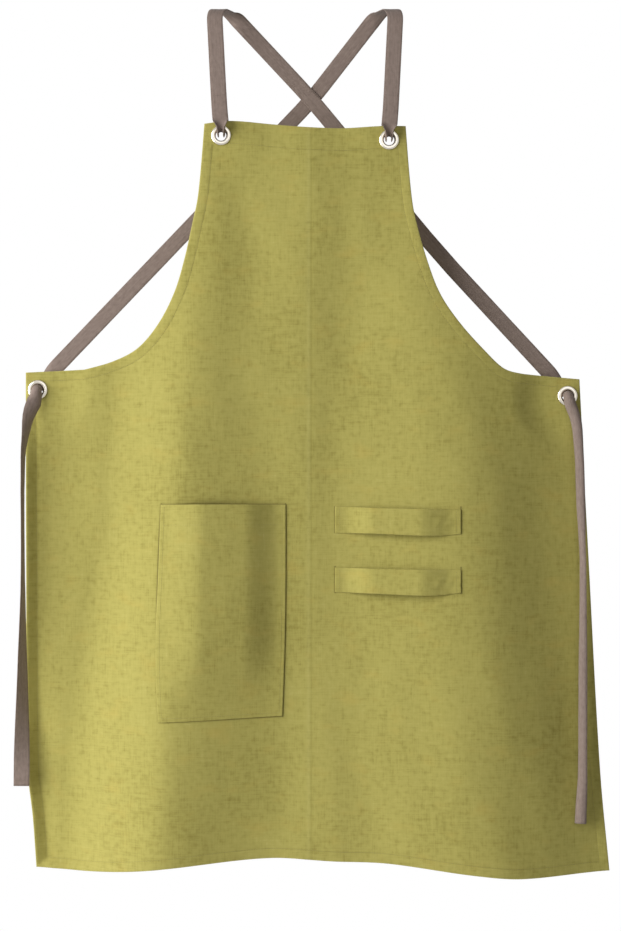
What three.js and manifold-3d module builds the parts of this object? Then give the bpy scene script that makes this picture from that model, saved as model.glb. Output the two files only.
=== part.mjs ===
// Cross back apron: a linen bib and skirt cut in one, hung by two straps that cross behind it.
// Each strap is looped through an eyelet at the top of the bib, rises over the shoulder, crosses the
// other strap, passes from behind through the eyelet on the far wing and hangs down as a tie.
// Millimetres. +X is to the right seen from the front, +Y goes to the back and +Z goes up.
// The origin lies midway between the two strap tops, level with the undersides that it hangs by.
import * as THREE from "three";
import { mergeVertices } from "three/addons/utils/BufferGeometryUtils.js";
import Module from "manifold-3d";

const wasm = await Module();
wasm.setup();

// Gap between pieces that touch
const clearance = 0.3;

// Main cloth
const clothThickness = 1.5;
const clothHeight = 903;
const bibTopWidth = 241.5;
const bibTopSag = 8.5;
const wingSpan = 668;
const foldDepth = 46;
const latticeAcross = 15;
const latticeDown = 42;

// Straps and ties
const strapWidth = 19;
const strapThickness = 1.5;
const strapRise = 138;
const shoulderSpan = 219;
const backSpan = 177;
const shoulderDepth = 48;
const shoulderFront = 10;
const shoulderBend = 19;
const crossDrop = 102;
const crossOffset = 8;
const crossDepth = 62;
const sewnLength = 20;
const sewnRise = 14;
const uncurlLength = 38;
const heldCurlLength = 6;
const eyeletTurn = 4.5;
const turnRise = 3;
const tieStandOff = 1.6;
const bowPlace = 0.53;

// Eyelets, each a grommet with a washer clinched on behind
const eyeletHole = 12.7;
const eyeletFlange = 24;
const eyeletWall = 0.6;
const eyeletDome = 2;
const washerThickness = 1;
const eyeletSides = 16;
const bibEyeletFromSide = 20;
const bibEyeletFromTop = 17;
const wingEyeletFromSide = 14.5;
const wingEyeletFromTop = 24;
const clinchLip = 1.4;
const washerInset = 0.5;
const washerBevel = 1.2;

// Patch pocket, open at the top
const pocketThickness = 1.2;
const pocketWidth = 149;
const pocketHeight = 252;
const pocketSlant = 4;
const pocketFromMiddle = 23;
const pocketDrop = 460;
const pocketBulge = 11;
const pocketSeam = 7;
const pocketSpread = 0.3;
const pocketRise = 0.4;

// Two loops, sewn down at both ends
const loopThickness = 1.2;
const loopLength = 149;
const loopHeight = 32;
const loopPitch = 71.5;
const loopFromMiddle = 36;
const loopDrop = 462;
const loopBulge = 9.5;
const loopSeam = 8;
const loopSpread = 0.28;

// The two sides hang a little differently. wingDrop is from the bib's top to the wing's, and wingDip is
// how much lower the wing's outer corner hangs. Each armhole row is a share of the way out from the bib's
// corner to half the wing span, and down to the wing. Each flare row is the side's reach, as a share of
// half the wing span, at a share of the way down from the wing to the hem.
const sides = {
  left: {
    sign: -1,
    wingDrop: 298,
    wingDip: 3,
    armhole: [
      { out: 0.032, down: 0.283 },
      { out: 0.064, down: 0.404 },
      { out: 0.114, down: 0.565 },
      { out: 0.17, down: 0.695 },
      { out: 0.258, down: 0.816 },
      { out: 0.376, down: 0.913 },
      { out: 0.523, down: 0.967 },
      { out: 0.681, down: 0.999 },
    ],
    flare: [
      { down: 0, reach: 1.011 },
      { down: 0.35, reach: 1.011 },
      { down: 0.8, reach: 1.006 },
      { down: 0.9, reach: 0.987 },
      { down: 1, reach: 0.974 },
    ],
  },
  right: {
    sign: 1,
    wingDrop: 306,
    wingDip: 4,
    armhole: [
      { out: 0.03, down: 0.282 },
      { out: 0.059, down: 0.399 },
      { out: 0.121, down: 0.555 },
      { out: 0.191, down: 0.682 },
      { out: 0.298, down: 0.794 },
      { out: 0.432, down: 0.899 },
      { out: 0.545, down: 0.972 },
      { out: 0.651, down: 0.993 },
    ],
    flare: [
      { down: 0, reach: 0.985 },
      { down: 0.35, reach: 1.017 },
      { down: 0.8, reach: 1.057 },
      { down: 1, reach: 1.088 },
    ],
  },
};

// The bib's top edge, as a share of its sag, at shares of its half width
const bibTopEdge = [
  { across: -1, dip: 0.4 },
  { across: -0.75, dip: 0 },
  { across: -0.3, dip: 0.5 },
  { across: 0, dip: 0.85 },
  { across: 0.4, dip: 1 },
  { across: 0.8, dip: 0.72 },
  { across: 1, dip: 0.75 },
];

// How far the hem rises above its lowest line, as a share of the cloth's height, at places across it
// that are shares of half the wing span.
const hemWave = [
  { across: -0.78, rise: 0.002 },
  { across: -0.49, rise: 0.0145 },
  { across: -0.12, rise: 0.0245 },
  { across: 0.1, rise: 0.0205 },
  { across: 0.3, rise: 0.0185 },
  { across: 0.6, rise: 0.006 },
  { across: 0.78, rise: 0.001 },
];
const hemCornerRise = { left: 0.004, right: 0.007 };

// The folds are lines that run down the cloth. Each row is a level, as a share of the cloth's height,
// with the line's place across as a share of half the wing span.
const foldAcross = [
  { down: 0, edgeL: -1, breakL: -0.7, ridgeL: -0.33, valleyL: -0.21, mid: -0.01, valleyR: 0.15, ridgeR: 0.38, edgeR: 1 },
  { down: 0.17, edgeL: -1, breakL: -0.7, ridgeL: -0.35, valleyL: -0.19, mid: 0.01, valleyR: 0.15, ridgeR: 0.45, edgeR: 1 },
  { down: 0.34, edgeL: -1, breakL: -0.71, ridgeL: -0.4, valleyL: -0.16, mid: 0, valleyR: 0.12, ridgeR: 0.53, edgeR: 1 },
  { down: 0.52, edgeL: -1, breakL: -0.74, ridgeL: -0.43, valleyL: -0.08, mid: 0.02, valleyR: 0.09, ridgeR: 0.57, edgeR: 1.03 },
  { down: 0.77, edgeL: -1, breakL: -0.86, ridgeL: -0.47, valleyL: -0.05, mid: 0.03, valleyR: 0.1, ridgeR: 0.62, edgeR: 1.07 },
  { down: 1, edgeL: -0.97, breakL: -0.9, ridgeL: -0.51, valleyL: -0.11, mid: 0.03, valleyR: 0.15, ridgeR: 0.66, edgeR: 1.11 },
];

// The same lines' depth towards the back, as a share of the fold depth.
const foldBack = [
  { down: 0, edgeL: 0.4, breakL: 0.2, ridgeL: -0.02, valleyL: 0.02, mid: -0.02, valleyR: 0.03, ridgeR: -0.04, edgeR: 0 },
  { down: 0.17, edgeL: 0.43, breakL: 0.2, ridgeL: -0.15, valleyL: -0.06, mid: -0.15, valleyR: -0.09, ridgeR: -0.26, edgeR: 0 },
  { down: 0.34, edgeL: 0.44, breakL: 0.26, ridgeL: -0.33, valleyL: -0.17, mid: -0.2, valleyR: -0.17, ridgeR: -0.54, edgeR: -0.04 },
  { down: 0.52, edgeL: 0.48, breakL: 0.26, ridgeL: -0.48, valleyL: -0.22, mid: -0.24, valleyR: -0.22, ridgeR: -0.68, edgeR: 0 },
  { down: 0.77, edgeL: 0.52, breakL: 0.4, ridgeL: -0.78, valleyL: -0.35, mid: -0.37, valleyR: -0.38, ridgeR: -0.87, edgeR: -0.12 },
  { down: 1, edgeL: 0.52, breakL: 0.44, ridgeL: -0.96, valleyL: -0.43, mid: -0.48, valleyR: -0.52, ridgeR: -1, edgeR: -0.3 },
];

// The straps. from is the shoulder it hangs over, to is the wing it reaches, layer is its place at the
// crossing, and bow is how far its long back stretch lies from straight. The tie's rows go down from the
// eyelet: out is away from the middle, ahead is in front of the cloth and turn is about the tie's length.
const straps = {
  left: {
    layer: 0,
    bow: -9,
    to: "right",
    tieLength: 508,
    curlKept: 0.3,
    tie: [
      { down: 0.06, out: 7, ahead: 13, turn: 30 },
      { down: 0.16, out: 10, ahead: 13, turn: 56 },
      { down: 0.29, out: 12, ahead: 13, turn: 60 },
      { down: 0.39, out: 14, ahead: 13, turn: 82 },
      { down: 0.68, out: 13, ahead: 13, turn: 62 },
      { down: 0.9, out: 12, ahead: 13, turn: 58 },
      { down: 1, out: 10, ahead: 13, turn: 38 },
    ],
  },
  right: {
    layer: 1,
    bow: 0,
    to: "left",
    tieLength: 477,
    curlKept: 0.3,
    tie: [
      { down: 0.06, out: 7, ahead: 20, turn: -25 },
      { down: 0.16, out: 13, ahead: 24, turn: -74 },
      { down: 0.26, out: 14, ahead: 24, turn: -86 },
      { down: 0.5, out: 14.5, ahead: 22, turn: -84 },
      { down: 0.7, out: 16, ahead: 20, turn: -64 },
      { down: 0.85, out: 17, ahead: 18, turn: -42 },
      { down: 1, out: 18, ahead: 16, turn: -4 },
    ],
  },
};

// The grommet's rolled crown, from the hole outwards. share is of the way from the hole to the flange's
// rim, and rise is of the dome's height.
const crownRows = [
  { share: 0, rise: 0.3 },
  { share: 0.1, rise: 0.78 },
  { share: 0.35, rise: 1 },
  { share: 0.7, rise: 0.84 },
  { share: 0.93, rise: 0.42 },
  { share: 1, rise: 0 },
];

// How each corner of a strap's route is rounded, and how far apart the rings are on the way to it
const routeCorners = {
  sewnFoot: { bend: 40, step: 12 },
  aboveBack: { bend: 12, step: 5 },
  intoBib: { bend: eyeletTurn, step: 3 },
  outOfBib: { bend: eyeletTurn, step: 4 },
  aboveFront: { bend: 12, step: 3 },
  legFoot: { bend: 40, step: 5 },
  legTop: { bend: 60, step: 12 },
  shoulderFront: { bend: shoulderBend, step: 40 },
  shoulderBack: { bend: shoulderBend, step: 12 },
  cross: { bend: 260, step: 40 },
  bowed: { bend: 900, step: 60 },
  curlsFrom: { bend: 40, step: 60 },
  intoWing: { bend: eyeletTurn, step: 9 },
  tieTop: { bend: 30, step: 4 },
  tieRow: { bend: 90, step: 27 },
};

const halfWing = wingSpan / 2;
const bibTop = -strapRise;
const hemLine = bibTop - clothHeight;

const smooth = (t) => {
  const s = Math.min(1, Math.max(0, t));
  return s * s * (3 - 2 * s);
};

// Catmull-Rom through a table's rows: the column's value at a level, with the rows' own spacing.
function columnAt(rows, level, column, key = "down") {
  const last = rows.length - 1;
  const at = Math.min(rows[last][key], Math.max(rows[0][key], level));
  let i = 0;
  while (i < last - 1 && rows[i + 1][key] <= at) i += 1;
  const [a, b] = [rows[i], rows[i + 1]];
  const before = rows[Math.max(0, i - 1)];
  const after = rows[Math.min(last, i + 2)];
  const span = b[key] - a[key];
  const t = (at - a[key]) / span;
  const slopeA = ((b[column] - before[column]) / (b[key] - before[key])) * span;
  const slopeB = ((after[column] - a[column]) / (after[key] - a[key])) * span;
  const t2 = t * t;
  const t3 = t2 * t;
  return (
    (2 * t3 - 3 * t2 + 1) * a[column] +
    (t3 - 2 * t2 + t) * slopeA +
    (3 * t2 - 2 * t3) * b[column] +
    (t3 - t2) * slopeB
  );
}

// Depth of the folds alone. Between two fold lines the cloth eases from one depth to the other.
function foldedDepth(x, z) {
  const down = (bibTop - z) / clothHeight;
  const lines = Object.keys(foldAcross[0]).filter((name) => name !== "down");
  const places = lines.map((name) => columnAt(foldAcross, down, name) * halfWing);
  const depths = lines.map((name) => columnAt(foldBack, down, name) * foldDepth);
  if (x <= places[0]) return depths[0];
  for (let i = 1; i < lines.length; i += 1) {
    if (x <= places[i]) {
      const t = (x - places[i - 1]) / (places[i] - places[i - 1]);
      return depths[i - 1] + (depths[i] - depths[i - 1]) * smooth(t);
    }
  }
  return depths[lines.length - 1];
}

// Where each eyelet sits on the cloth
const eyelets = {};
for (const [name, side] of Object.entries(sides)) {
  const bibAcross = side.sign * (1 - (2 * bibEyeletFromSide) / bibTopWidth);
  const bib = {
    x: (bibAcross * bibTopWidth) / 2,
    z: bibTop - bibTopSag * columnAt(bibTopEdge, bibAcross, "dip", "across") - bibEyeletFromTop,
  };
  const wing = {
    x: side.sign * (halfWing * side.flare[0].reach - wingEyeletFromSide),
    z: bibTop - side.wingDrop - wingEyeletFromTop,
  };
  eyelets[`bib_${name}`] = { ...bib, y: foldedDepth(bib.x, bib.z) };
  eyelets[`wing_${name}`] = { ...wing, y: foldedDepth(wing.x, wing.z) };
}

// Depth of the cloth's middle: the folds, pressed flat round each eyelet by its flange.
const flatHalf = eyeletFlange / 2 + 4;
const flatReach = flatHalf * Math.SQRT2;
function clothDepth(x, z) {
  let depth = foldedDepth(x, z);
  for (const e of Object.values(eyelets)) {
    const away = Math.hypot(x - e.x, z - e.z);
    depth = e.y + (depth - e.y) * smooth((away - flatReach - 1) / (2 * flatReach));
  }
  return depth;
}

// The steepness of the cloth at a point, as the length of its face for a unit seen from the front
function stretch(x, z) {
  const h = 1;
  const dx = (clothDepth(x + h, z) - clothDepth(x - h, z)) / (2 * h);
  const dz = (clothDepth(x, z + h) - clothDepth(x, z - h)) / (2 * h);
  return Math.sqrt(1 + dx * dx + dz * dz);
}

const clothFront = (x, z) => clothDepth(x, z) - (clothThickness / 2) * stretch(x, z);
const clothBack = (x, z) => clothDepth(x, z) + (clothThickness / 2) * stretch(x, z);

// A mesh as a manifold-3d solid, and a solid as a geometry
function solidOf(geometry) {
  const bare = geometry.clone();
  bare.deleteAttribute("normal");
  bare.deleteAttribute("uv");
  const merged = mergeVertices(bare, 1e-4);
  const vertProperties = merged.attributes.position.array;
  return new wasm.Manifold(new wasm.Mesh({ numProp: 3, vertProperties, triVerts: merged.index.array }));
}

function geometryOf(solid) {
  const mesh = solid.getMesh();
  const geometry = new THREE.BufferGeometry();
  geometry.setAttribute("position", new THREE.BufferAttribute(new Float32Array(mesh.vertProperties), 3));
  geometry.setIndex(new THREE.BufferAttribute(new Uint32Array(mesh.triVerts), 1));
  return finished(geometry);
}

function finished(geometry) {
  const flat = geometry.toNonIndexed();
  flat.computeVertexNormals();
  return flat;
}

// A closed skin over rings of points. The rings all have as many points, and the ends are capped.
function ringsGeometry(rings, cap) {
  const position = rings.flat(2);
  const around = rings[0].length;
  const index = [];
  for (let j = 0; j + 1 < rings.length; j += 1) {
    for (let i = 0; i < around; i += 1) {
      const a = j * around + i;
      const b = j * around + ((i + 1) % around);
      index.push(a, b, b + around, a, b + around, a + around);
    }
  }
  const lastRing = (rings.length - 1) * around;
  for (const [a, b, c] of cap) {
    index.push(c, b, a, lastRing + a, lastRing + b, lastRing + c);
  }
  const geometry = new THREE.BufferGeometry();
  geometry.setAttribute("position", new THREE.Float32BufferAttribute(position, 3));
  geometry.setIndex(index);
  return finished(geometry);
}

// A sheet over a lattice. Each row of the lattice is one ring, along its front and back again.
function sheetGeometry(across, down, place, front, back) {
  const rings = down.map((v) => {
    const points = across.map((u) => place(u, v));
    const ahead = points.map(([x, z]) => [x, front(x, z, v), z]);
    const behind = points.map(([x, z]) => [x, back(x, z, v), z]);
    return [...ahead, ...behind.reverse()];
  });
  return ringsGeometry(rings, stripCap(across.length));
}

// Triangles that close a ring whose points go along one side and back along the other
function stripCap(points) {
  const cap = [];
  const last = 2 * points - 1;
  for (let i = 0; i + 1 < points; i += 1) {
    cap.push([i, i + 1, last - i], [i + 1, last - i - 1, last - i]);
  }
  return cap;
}

// Lattice lines from low to high at about the given step, through the lines that are needed
function latticeLines(low, high, step, needed) {
  const fixed = [low, ...needed.filter((v) => v > low + 2 && v < high - 2), high].sort((a, b) => a - b);
  const lines = [fixed[0]];
  for (const next of fixed.slice(1)) {
    const start = lines[lines.length - 1];
    if (next - start < 2) continue;
    const count = Math.max(1, Math.round((next - start) / step));
    for (let i = 1; i <= count; i += 1) lines.push(start + ((next - start) * i) / count);
  }
  return lines;
}

// The lattice has lines along every pocket and loop edge, so that they lie on it closely.
const pocketTop = bibTop - pocketDrop;
const pocketRight = -pocketFromMiddle;
const loopTops = [0, 1].map((number) => bibTop - loopDrop - number * loopPitch);
const eyeletList = Object.values(eyelets);
const clothColumns = latticeLines(-halfWing * 1.06, halfWing * 1.16, latticeAcross, [
  ...eyeletList.flatMap((e) => [e.x - flatHalf, e.x + flatHalf]),
  pocketRight - pocketWidth,
  pocketRight,
  loopFromMiddle,
  loopFromMiddle + loopLength,
]);
const clothRows = latticeLines(hemLine - 8, bibTop + 6, latticeDown, [
  ...eyeletList.flatMap((e) => [e.z - flatHalf, e.z + flatHalf]),
  pocketTop,
  loopTops[1],
]);
const within = (lines, low, high) => lines.filter((v) => v > low - 1e-6 && v < high + 1e-6);

// The reach of one side at a share of the way down from wing to hem
function sideReach(side, share) {
  return side.sign * halfWing * columnAt(side.flare, share, "reach");
}

// One side of the outline, from the bib's top corner round the armhole and down to the hem's corner
const armholeSteps = 24;
const flareSteps = 8;
function sideOutline(side, hemRise, bibCorner) {
  const half = bibTopWidth / 2;
  const wing = bibTop - side.wingDrop;
  const corner = new THREE.Vector2(side.sign * half, bibCorner);
  const edge = side.armhole.map(
    ({ out, down }) =>
      new THREE.Vector2(side.sign * (half + out * (halfWing - half)), bibTop - down * side.wingDrop),
  );
  const points = new THREE.SplineCurve([corner, ...edge]).getPoints(armholeSteps);
  const top = wing - side.wingDip;
  const foot = hemLine + hemRise * clothHeight;
  for (let i = 0; i <= flareSteps; i += 1) {
    const share = i / flareSteps;
    points.push(new THREE.Vector2(sideReach(side, share), top + (foot - top) * share));
  }
  return points;
}

function hemOutline() {
  const corners = Object.entries(sides).map(([name, side]) => ({
    across: sideReach(side, 1) / halfWing,
    rise: hemCornerRise[name],
  }));
  const rows = [corners[0], ...hemWave, corners[1]];
  const steps = 36;
  const points = [];
  for (let i = 1; i < steps; i += 1) {
    const across = rows[0].across + ((corners[1].across - rows[0].across) * i) / steps;
    const rise = columnAt(rows, across, "rise", "across");
    points.push(new THREE.Vector2(across * halfWing, hemLine + rise * clothHeight));
  }
  return points;
}

function topOutline() {
  const points = [];
  const steps = 12;
  for (let i = 0; i <= steps; i += 1) {
    const across = (2 * i) / steps - 1;
    const dip = columnAt(bibTopEdge, across, "dip", "across");
    points.push(new THREE.Vector2((across * bibTopWidth) / 2, bibTop - dip * bibTopSag));
  }
  return points;
}

function clothOutline() {
  const top = topOutline();
  const left = sideOutline(sides.left, hemCornerRise.left, top[0].y);
  const right = sideOutline(sides.right, hemCornerRise.right, top[top.length - 1].y);
  return [...left, ...hemOutline(), ...right.reverse(), ...top.slice(1, -1).reverse()];
}

// A prism through the cloth from front to back, under an outline in x and z
function prismThrough(points) {
  const depth = 6 * foldDepth;
  const geometry = new THREE.ExtrudeGeometry(new THREE.Shape(points), { depth, bevelEnabled: false });
  geometry.translate(0, 0, -depth / 2);
  geometry.rotateX(Math.PI / 2);
  return solidOf(geometry);
}

// The washer's seat and the grommet's faces, as depths from the cloth's middle
const flangeSeat = clothThickness / 2 + clearance;
const flangeFront = flangeSeat + eyeletDome;
const washerBack = flangeSeat + washerThickness;
const clinch = washerBack + clearance;
const grommetBack = clinch + eyeletWall;
const holeRadius = eyeletHole / 2;
const barrelRadius = holeRadius + eyeletWall;

function holeThrough(eyelet) {
  const geometry = new THREE.CylinderGeometry(
    barrelRadius + clearance,
    barrelRadius + clearance,
    12 * clothThickness,
    eyeletSides,
  );
  geometry.translate(eyelet.x, eyelet.y, eyelet.z);
  return solidOf(geometry);
}

function apronCloth() {
  const sheet = solidOf(sheetGeometry(clothColumns, clothRows, (x, z) => [x, z], clothFront, clothBack));
  let cloth = sheet.intersect(prismThrough(clothOutline()));
  for (const eyelet of eyeletList) cloth = cloth.subtract(holeThrough(eyelet));
  return geometryOf(cloth);
}

// Profiles are radius and depth, and turn about the eyelet's axis, which lies along Y.
function grommet(eyelet) {
  const flange = eyeletFlange / 2;
  const crown = crownRows.map(({ share, rise }) => [
    holeRadius + (flange - holeRadius) * share,
    -flangeSeat - rise * eyeletDome,
  ]);
  const clinchRadius = barrelRadius + clinchLip;
  const profile = [
    [holeRadius, grommetBack - eyeletWall / 3],
    ...crown,
    [barrelRadius, -flangeSeat],
    [barrelRadius, clinch],
    [clinchRadius, clinch],
    [clinchRadius, clinch + eyeletWall / 2],
    [barrelRadius + (2 * eyeletWall) / 3, grommetBack],
  ];
  return turned(profile, eyelet);
}

function washer(eyelet) {
  const inner = barrelRadius + clearance;
  const outer = eyeletFlange / 2 - washerInset;
  const profile = [
    [inner, washerBack],
    [inner, flangeSeat],
    [outer, flangeSeat],
    [outer, flangeSeat + 0.4 * washerThickness],
    [outer - washerBevel, washerBack],
  ];
  return turned(profile, eyelet);
}

function turned(profile, eyelet) {
  const points = [...profile, profile[0]].map(([r, y]) => new THREE.Vector2(r, y));
  const lathe = new THREE.LatheGeometry(points.reverse(), eyeletSides);
  let solid = solidOf(lathe);
  if (solid.volume() < 0) solid = solidOf(new THREE.LatheGeometry(points.reverse(), eyeletSides));
  return geometryOf(solid).translate(eyelet.x, eyelet.y, eyelet.z);
}

// The pocket stands off the cloth inside its seams, more towards its mouth.
// Its foot slants, so its rows fan out towards the side away from the middle.
function pocketPlace(x, v) {
  const slant = (pocketSlant * (pocketRight - x)) / pocketWidth;
  return [x, pocketTop - v * (pocketHeight + slant)];
}

function pocketGap(x, z) {
  const inset = Math.min(x - (pocketRight - pocketWidth), pocketRight - x) - pocketSeam;
  const sidewards = smooth(inset / (pocketSpread * pocketWidth));
  const up = (z - (pocketTop - pocketHeight) - pocketSeam) / (pocketRise * pocketHeight);
  return clearance + pocketBulge * sidewards * smooth(up);
}

function pocket() {
  const columns = within(clothColumns, pocketRight - pocketWidth, pocketRight);
  const rows = sharesOf(pocketHeight, latticeDown / 1.5).reverse();
  const back = (x, z) => clothFront(x, z) - pocketGap(x, z);
  const front = (x, z) => back(x, z) - pocketThickness * stretch(x, z);
  return sheetGeometry(columns, rows, pocketPlace, front, back);
}

// Shares from 0 to 1 at about the given step along a length
function sharesOf(length, step) {
  const count = Math.round(length / step);
  return Array.from({ length: count + 1 }, (_, i) => i / count);
}

// A loop stands off the cloth between its two sewn ends.
function towelLoop(top) {
  const place = (x, v) => [x, top - v * loopHeight];
  const gap = (x) => {
    const inset = Math.min(x - loopFromMiddle, loopFromMiddle + loopLength - x) - loopSeam;
    return clearance + loopBulge * smooth(inset / (loopSpread * loopLength));
  };
  const back = (x, z) => clothFront(x, z) - gap(x);
  const front = (x, z) => back(x, z) - loopThickness * stretch(x, z);
  const columns = within(clothColumns, loopFromMiddle, loopFromMiddle + loopLength);
  return sheetGeometry(columns, sharesOf(loopHeight, loopHeight / 2).reverse(), place, front, back);
}

// A strap's route is a chain of corners, each rounded by its own bend. It is returned as stations,
// closer together in the bends, each with its point, its direction and its length along the route.
const leastTurn = 0.02;
const turnPerStation = 0.53;
function routeStations(corners) {
  const stations = [];
  const add = (point, direction) => {
    const last = stations[stations.length - 1];
    const far = last ? last.point.distanceTo(point) : 0;
    if (last && far < 0.2) return;
    stations.push({ point, direction, along: last ? last.along + far : 0 });
  };
  const straight = (from, to, step) => {
    const length = from.distanceTo(to);
    const direction = to.clone().sub(from).normalize();
    const count = Math.max(1, Math.ceil(length / step));
    for (let i = 0; i <= count; i += 1) add(from.clone().lerp(to, i / count), direction);
  };
  let from = corners[0].at;
  for (let i = 1; i < corners.length - 1; i += 1) {
    const { at, bend } = corners[i];
    const inward = at.clone().sub(corners[i - 1].at).normalize();
    const outward = corners[i + 1].at.clone().sub(at).normalize();
    const angle = inward.angleTo(outward);
    if (angle < leastTurn) {
      straight(from, at, corners[i].step);
      from = at;
      continue;
    }
    const room = 0.49 * Math.min(at.distanceTo(corners[i - 1].at), at.distanceTo(corners[i + 1].at));
    const trim = Math.min(bend * Math.tan(angle / 2), room);
    const radius = trim / Math.tan(angle / 2);
    const start = at.clone().addScaledVector(inward, -trim);
    straight(from, start, corners[i].step);
    const axis = inward.clone().cross(outward).normalize();
    const centre = start.clone().addScaledVector(axis.clone().cross(inward), radius);
    const spoke = start.clone().sub(centre);
    const count = Math.max(1, Math.ceil(angle / turnPerStation));
    for (let k = 1; k <= count; k += 1) {
      const turn = (angle * k) / count;
      const point = spoke.clone().applyAxisAngle(axis, turn).add(centre);
      add(point, inward.clone().applyAxisAngle(axis, turn));
    }
    from = at.clone().addScaledVector(outward, trim);
  }
  straight(from, corners[corners.length - 1].at, corners[corners.length - 1].step);
  return stations;
}

// In an eyelet the strap curls into an open tube that fits the hole. curlRadius is its middle's.
const curlRadius = holeRadius - clearance - strapThickness / 2;
const fullCurl = strapWidth / curlRadius;
const curlDepth = curlRadius * (1 - Math.cos(fullCurl / 2));
const tieBend = curlDepth + strapThickness / 2 + tieStandOff;
const throughBack = grommetBack + clearance;
const throughFront = flangeFront + clearance;

// One ring round the strap: along its inner face and back along its outer face
const acrossPoints = 5;
function strapRing(station, curl, turn) {
  const along = station.direction;
  const across = new THREE.Vector3(1, 0, 0).addScaledVector(along, -along.x).normalize();
  const hollow = across.clone().cross(along);
  across.applyAxisAngle(along, turn);
  hollow.applyAxisAngle(along, turn);
  const face = (side) => {
    const points = [];
    for (let i = 0; i < acrossPoints; i += 1) {
      const place = strapWidth * (i / (acrossPoints - 1) - 0.5);
      const angle = (place / strapWidth) * curl;
      const radius = strapWidth / Math.max(curl, 1e-4);
      const sideways = curl < 1e-3 ? place : (radius + side) * Math.sin(angle);
      const inwards = curl < 1e-3 ? -side : radius - (radius + side) * Math.cos(angle);
      const point = station.point.clone().addScaledVector(across, sideways);
      points.push(point.addScaledVector(hollow, inwards).toArray());
    }
    return points;
  };
  return [...face(-strapThickness / 2), ...face(strapThickness / 2).reverse()];
}

function strap(name) {
  const own = straps[name];
  const { sign } = sides[name];
  const farSign = -sign;
  const bib = eyelets[`bib_${name}`];
  const wing = eyelets[`wing_${own.to}`];
  const v = (x, y, z) => new THREE.Vector3(x, y, z);
  const topFront = v((sign * shoulderSpan) / 2, shoulderFront, strapThickness / 2);
  const topBack = v((sign * backSpan) / 2, shoulderFront + shoulderDepth, strapThickness / 2);

  // The front leg leans from the eyelet to the shoulder.
  const legX = (z) => bib.x + ((topFront.x - bib.x) * (z - bib.z)) / (topFront.z - bib.z);
  const sewnFoot = bibTop + sewnRise;
  const sewnTop = sewnFoot + sewnLength;
  const ply = (strapThickness + clearance) / 2;
  const bibHole = bib.z + curlRadius;
  const wingHole = wing.z + curlRadius;

  const layer = own.layer * (strapThickness + 2 * clearance);
  const cross = v(crossOffset, crossDepth + layer, -crossDrop);
  const wingEntry = v(wing.x, wing.y + throughBack + eyeletTurn, wingHole);
  const bowed = cross.clone().lerp(wingEntry, bowPlace);
  bowed.x += farSign * own.bow;
  const curlsFrom = bowed.clone().lerp(wingEntry, 1 - (uncurlLength + eyeletTurn) / bowed.distanceTo(wingEntry));

  const tieCorner = ({ down, out, ahead }) => {
    const x = wing.x + farSign * out;
    const z = wing.z - down * own.tieLength;
    return { at: v(x, clothFront(x, z) - ahead, z), ...routeCorners.tieRow };
  };
  const tieStart = wing.y - throughFront - tieBend;
  const behind = bib.y + throughBack + eyeletTurn;
  const before = bib.y - throughFront - eyeletTurn;
  const above = bibHole + eyeletTurn + turnRise;
  const at = routeCorners;
  const corners = [
    { at: v(legX(sewnTop), bib.y + ply, sewnTop) },
    { at: v(legX(sewnFoot), bib.y + ply, sewnFoot), ...at.sewnFoot },
    { at: v(bib.x, behind, above), ...at.aboveBack },
    { at: v(bib.x, behind, bibHole), ...at.intoBib },
    { at: v(bib.x, before, bibHole), ...at.outOfBib },
    { at: v(bib.x, before, above), ...at.aboveFront },
    { at: v(legX(sewnFoot), bib.y - ply, sewnFoot), ...at.legFoot },
    { at: v(legX(sewnTop), bib.y - ply, sewnTop), ...at.legTop },
    { at: topFront, ...at.shoulderFront },
    { at: topBack, ...at.shoulderBack },
    { at: cross, ...at.cross },
    { at: bowed, ...at.bowed },
    { at: curlsFrom, ...at.curlsFrom },
    { at: wingEntry, ...at.intoWing },
    { at: v(wing.x, tieStart, wingHole), bend: tieBend, step: at.tieTop.step },
    { at: v(wing.x, tieStart, wing.z - tieBend), ...at.tieTop },
    ...own.tie.map(tieCorner),
  ];
  const stations = routeStations(corners);

  // The curl is full in a hole and opens with the distance from it, but a tie keeps some of it.
  const near = (eyelet) => {
    const centre = v(eyelet.x, eyelet.y, eyelet.z + curlRadius);
    return stations.reduce((best, s) =>
      s.point.distanceTo(centre) < best.point.distanceTo(centre) ? s : best,
    ).along;
  };
  const [atBib, atWing] = [near(bib), near(wing)];
  const opened = (far) => 1 - smooth((far - heldCurlLength) / uncurlLength);
  const tieCurl = (far) => own.curlKept * (1 - smooth(far / own.tieLength));
  const turns = [{ down: -1, turn: 0 }, { down: 0, turn: 0 }, ...own.tie];

  const rings = stations.map((station) => {
    const past = station.along - atWing;
    const close = Math.min(Math.abs(station.along - atBib), Math.abs(past));
    const share = Math.max(opened(close), past > 0 ? tieCurl(past) : 0);
    const turn = past > 0 ? columnAt(turns, past / own.tieLength, "turn") : 0;
    return strapRing(station, fullCurl * share, THREE.MathUtils.degToRad(turn));
  });
  return ringsGeometry(rings, stripCap(acrossPoints));
}

const linen = new THREE.MeshStandardMaterial({ color: 0xb1aa62, roughness: 0.92, metalness: 0 });
const tape = new THREE.MeshStandardMaterial({ color: 0x8a786c, roughness: 0.9, metalness: 0 });
const nickel = new THREE.MeshStandardMaterial({ color: 0xc9c5bd, roughness: 0.25, metalness: 1 });

// The sizes above count depth from the bib's middle. The pieces hang so that the strap tops lie over the
// origin.
const apron = new THREE.Group();
const hung = new THREE.Group();
hung.position.y = -(shoulderFront + shoulderDepth / 2);
apron.add(hung);

function addPiece(name, geometry, material) {
  const mesh = new THREE.Mesh(geometry, material);
  mesh.name = name;
  hung.add(mesh);
}

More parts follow.
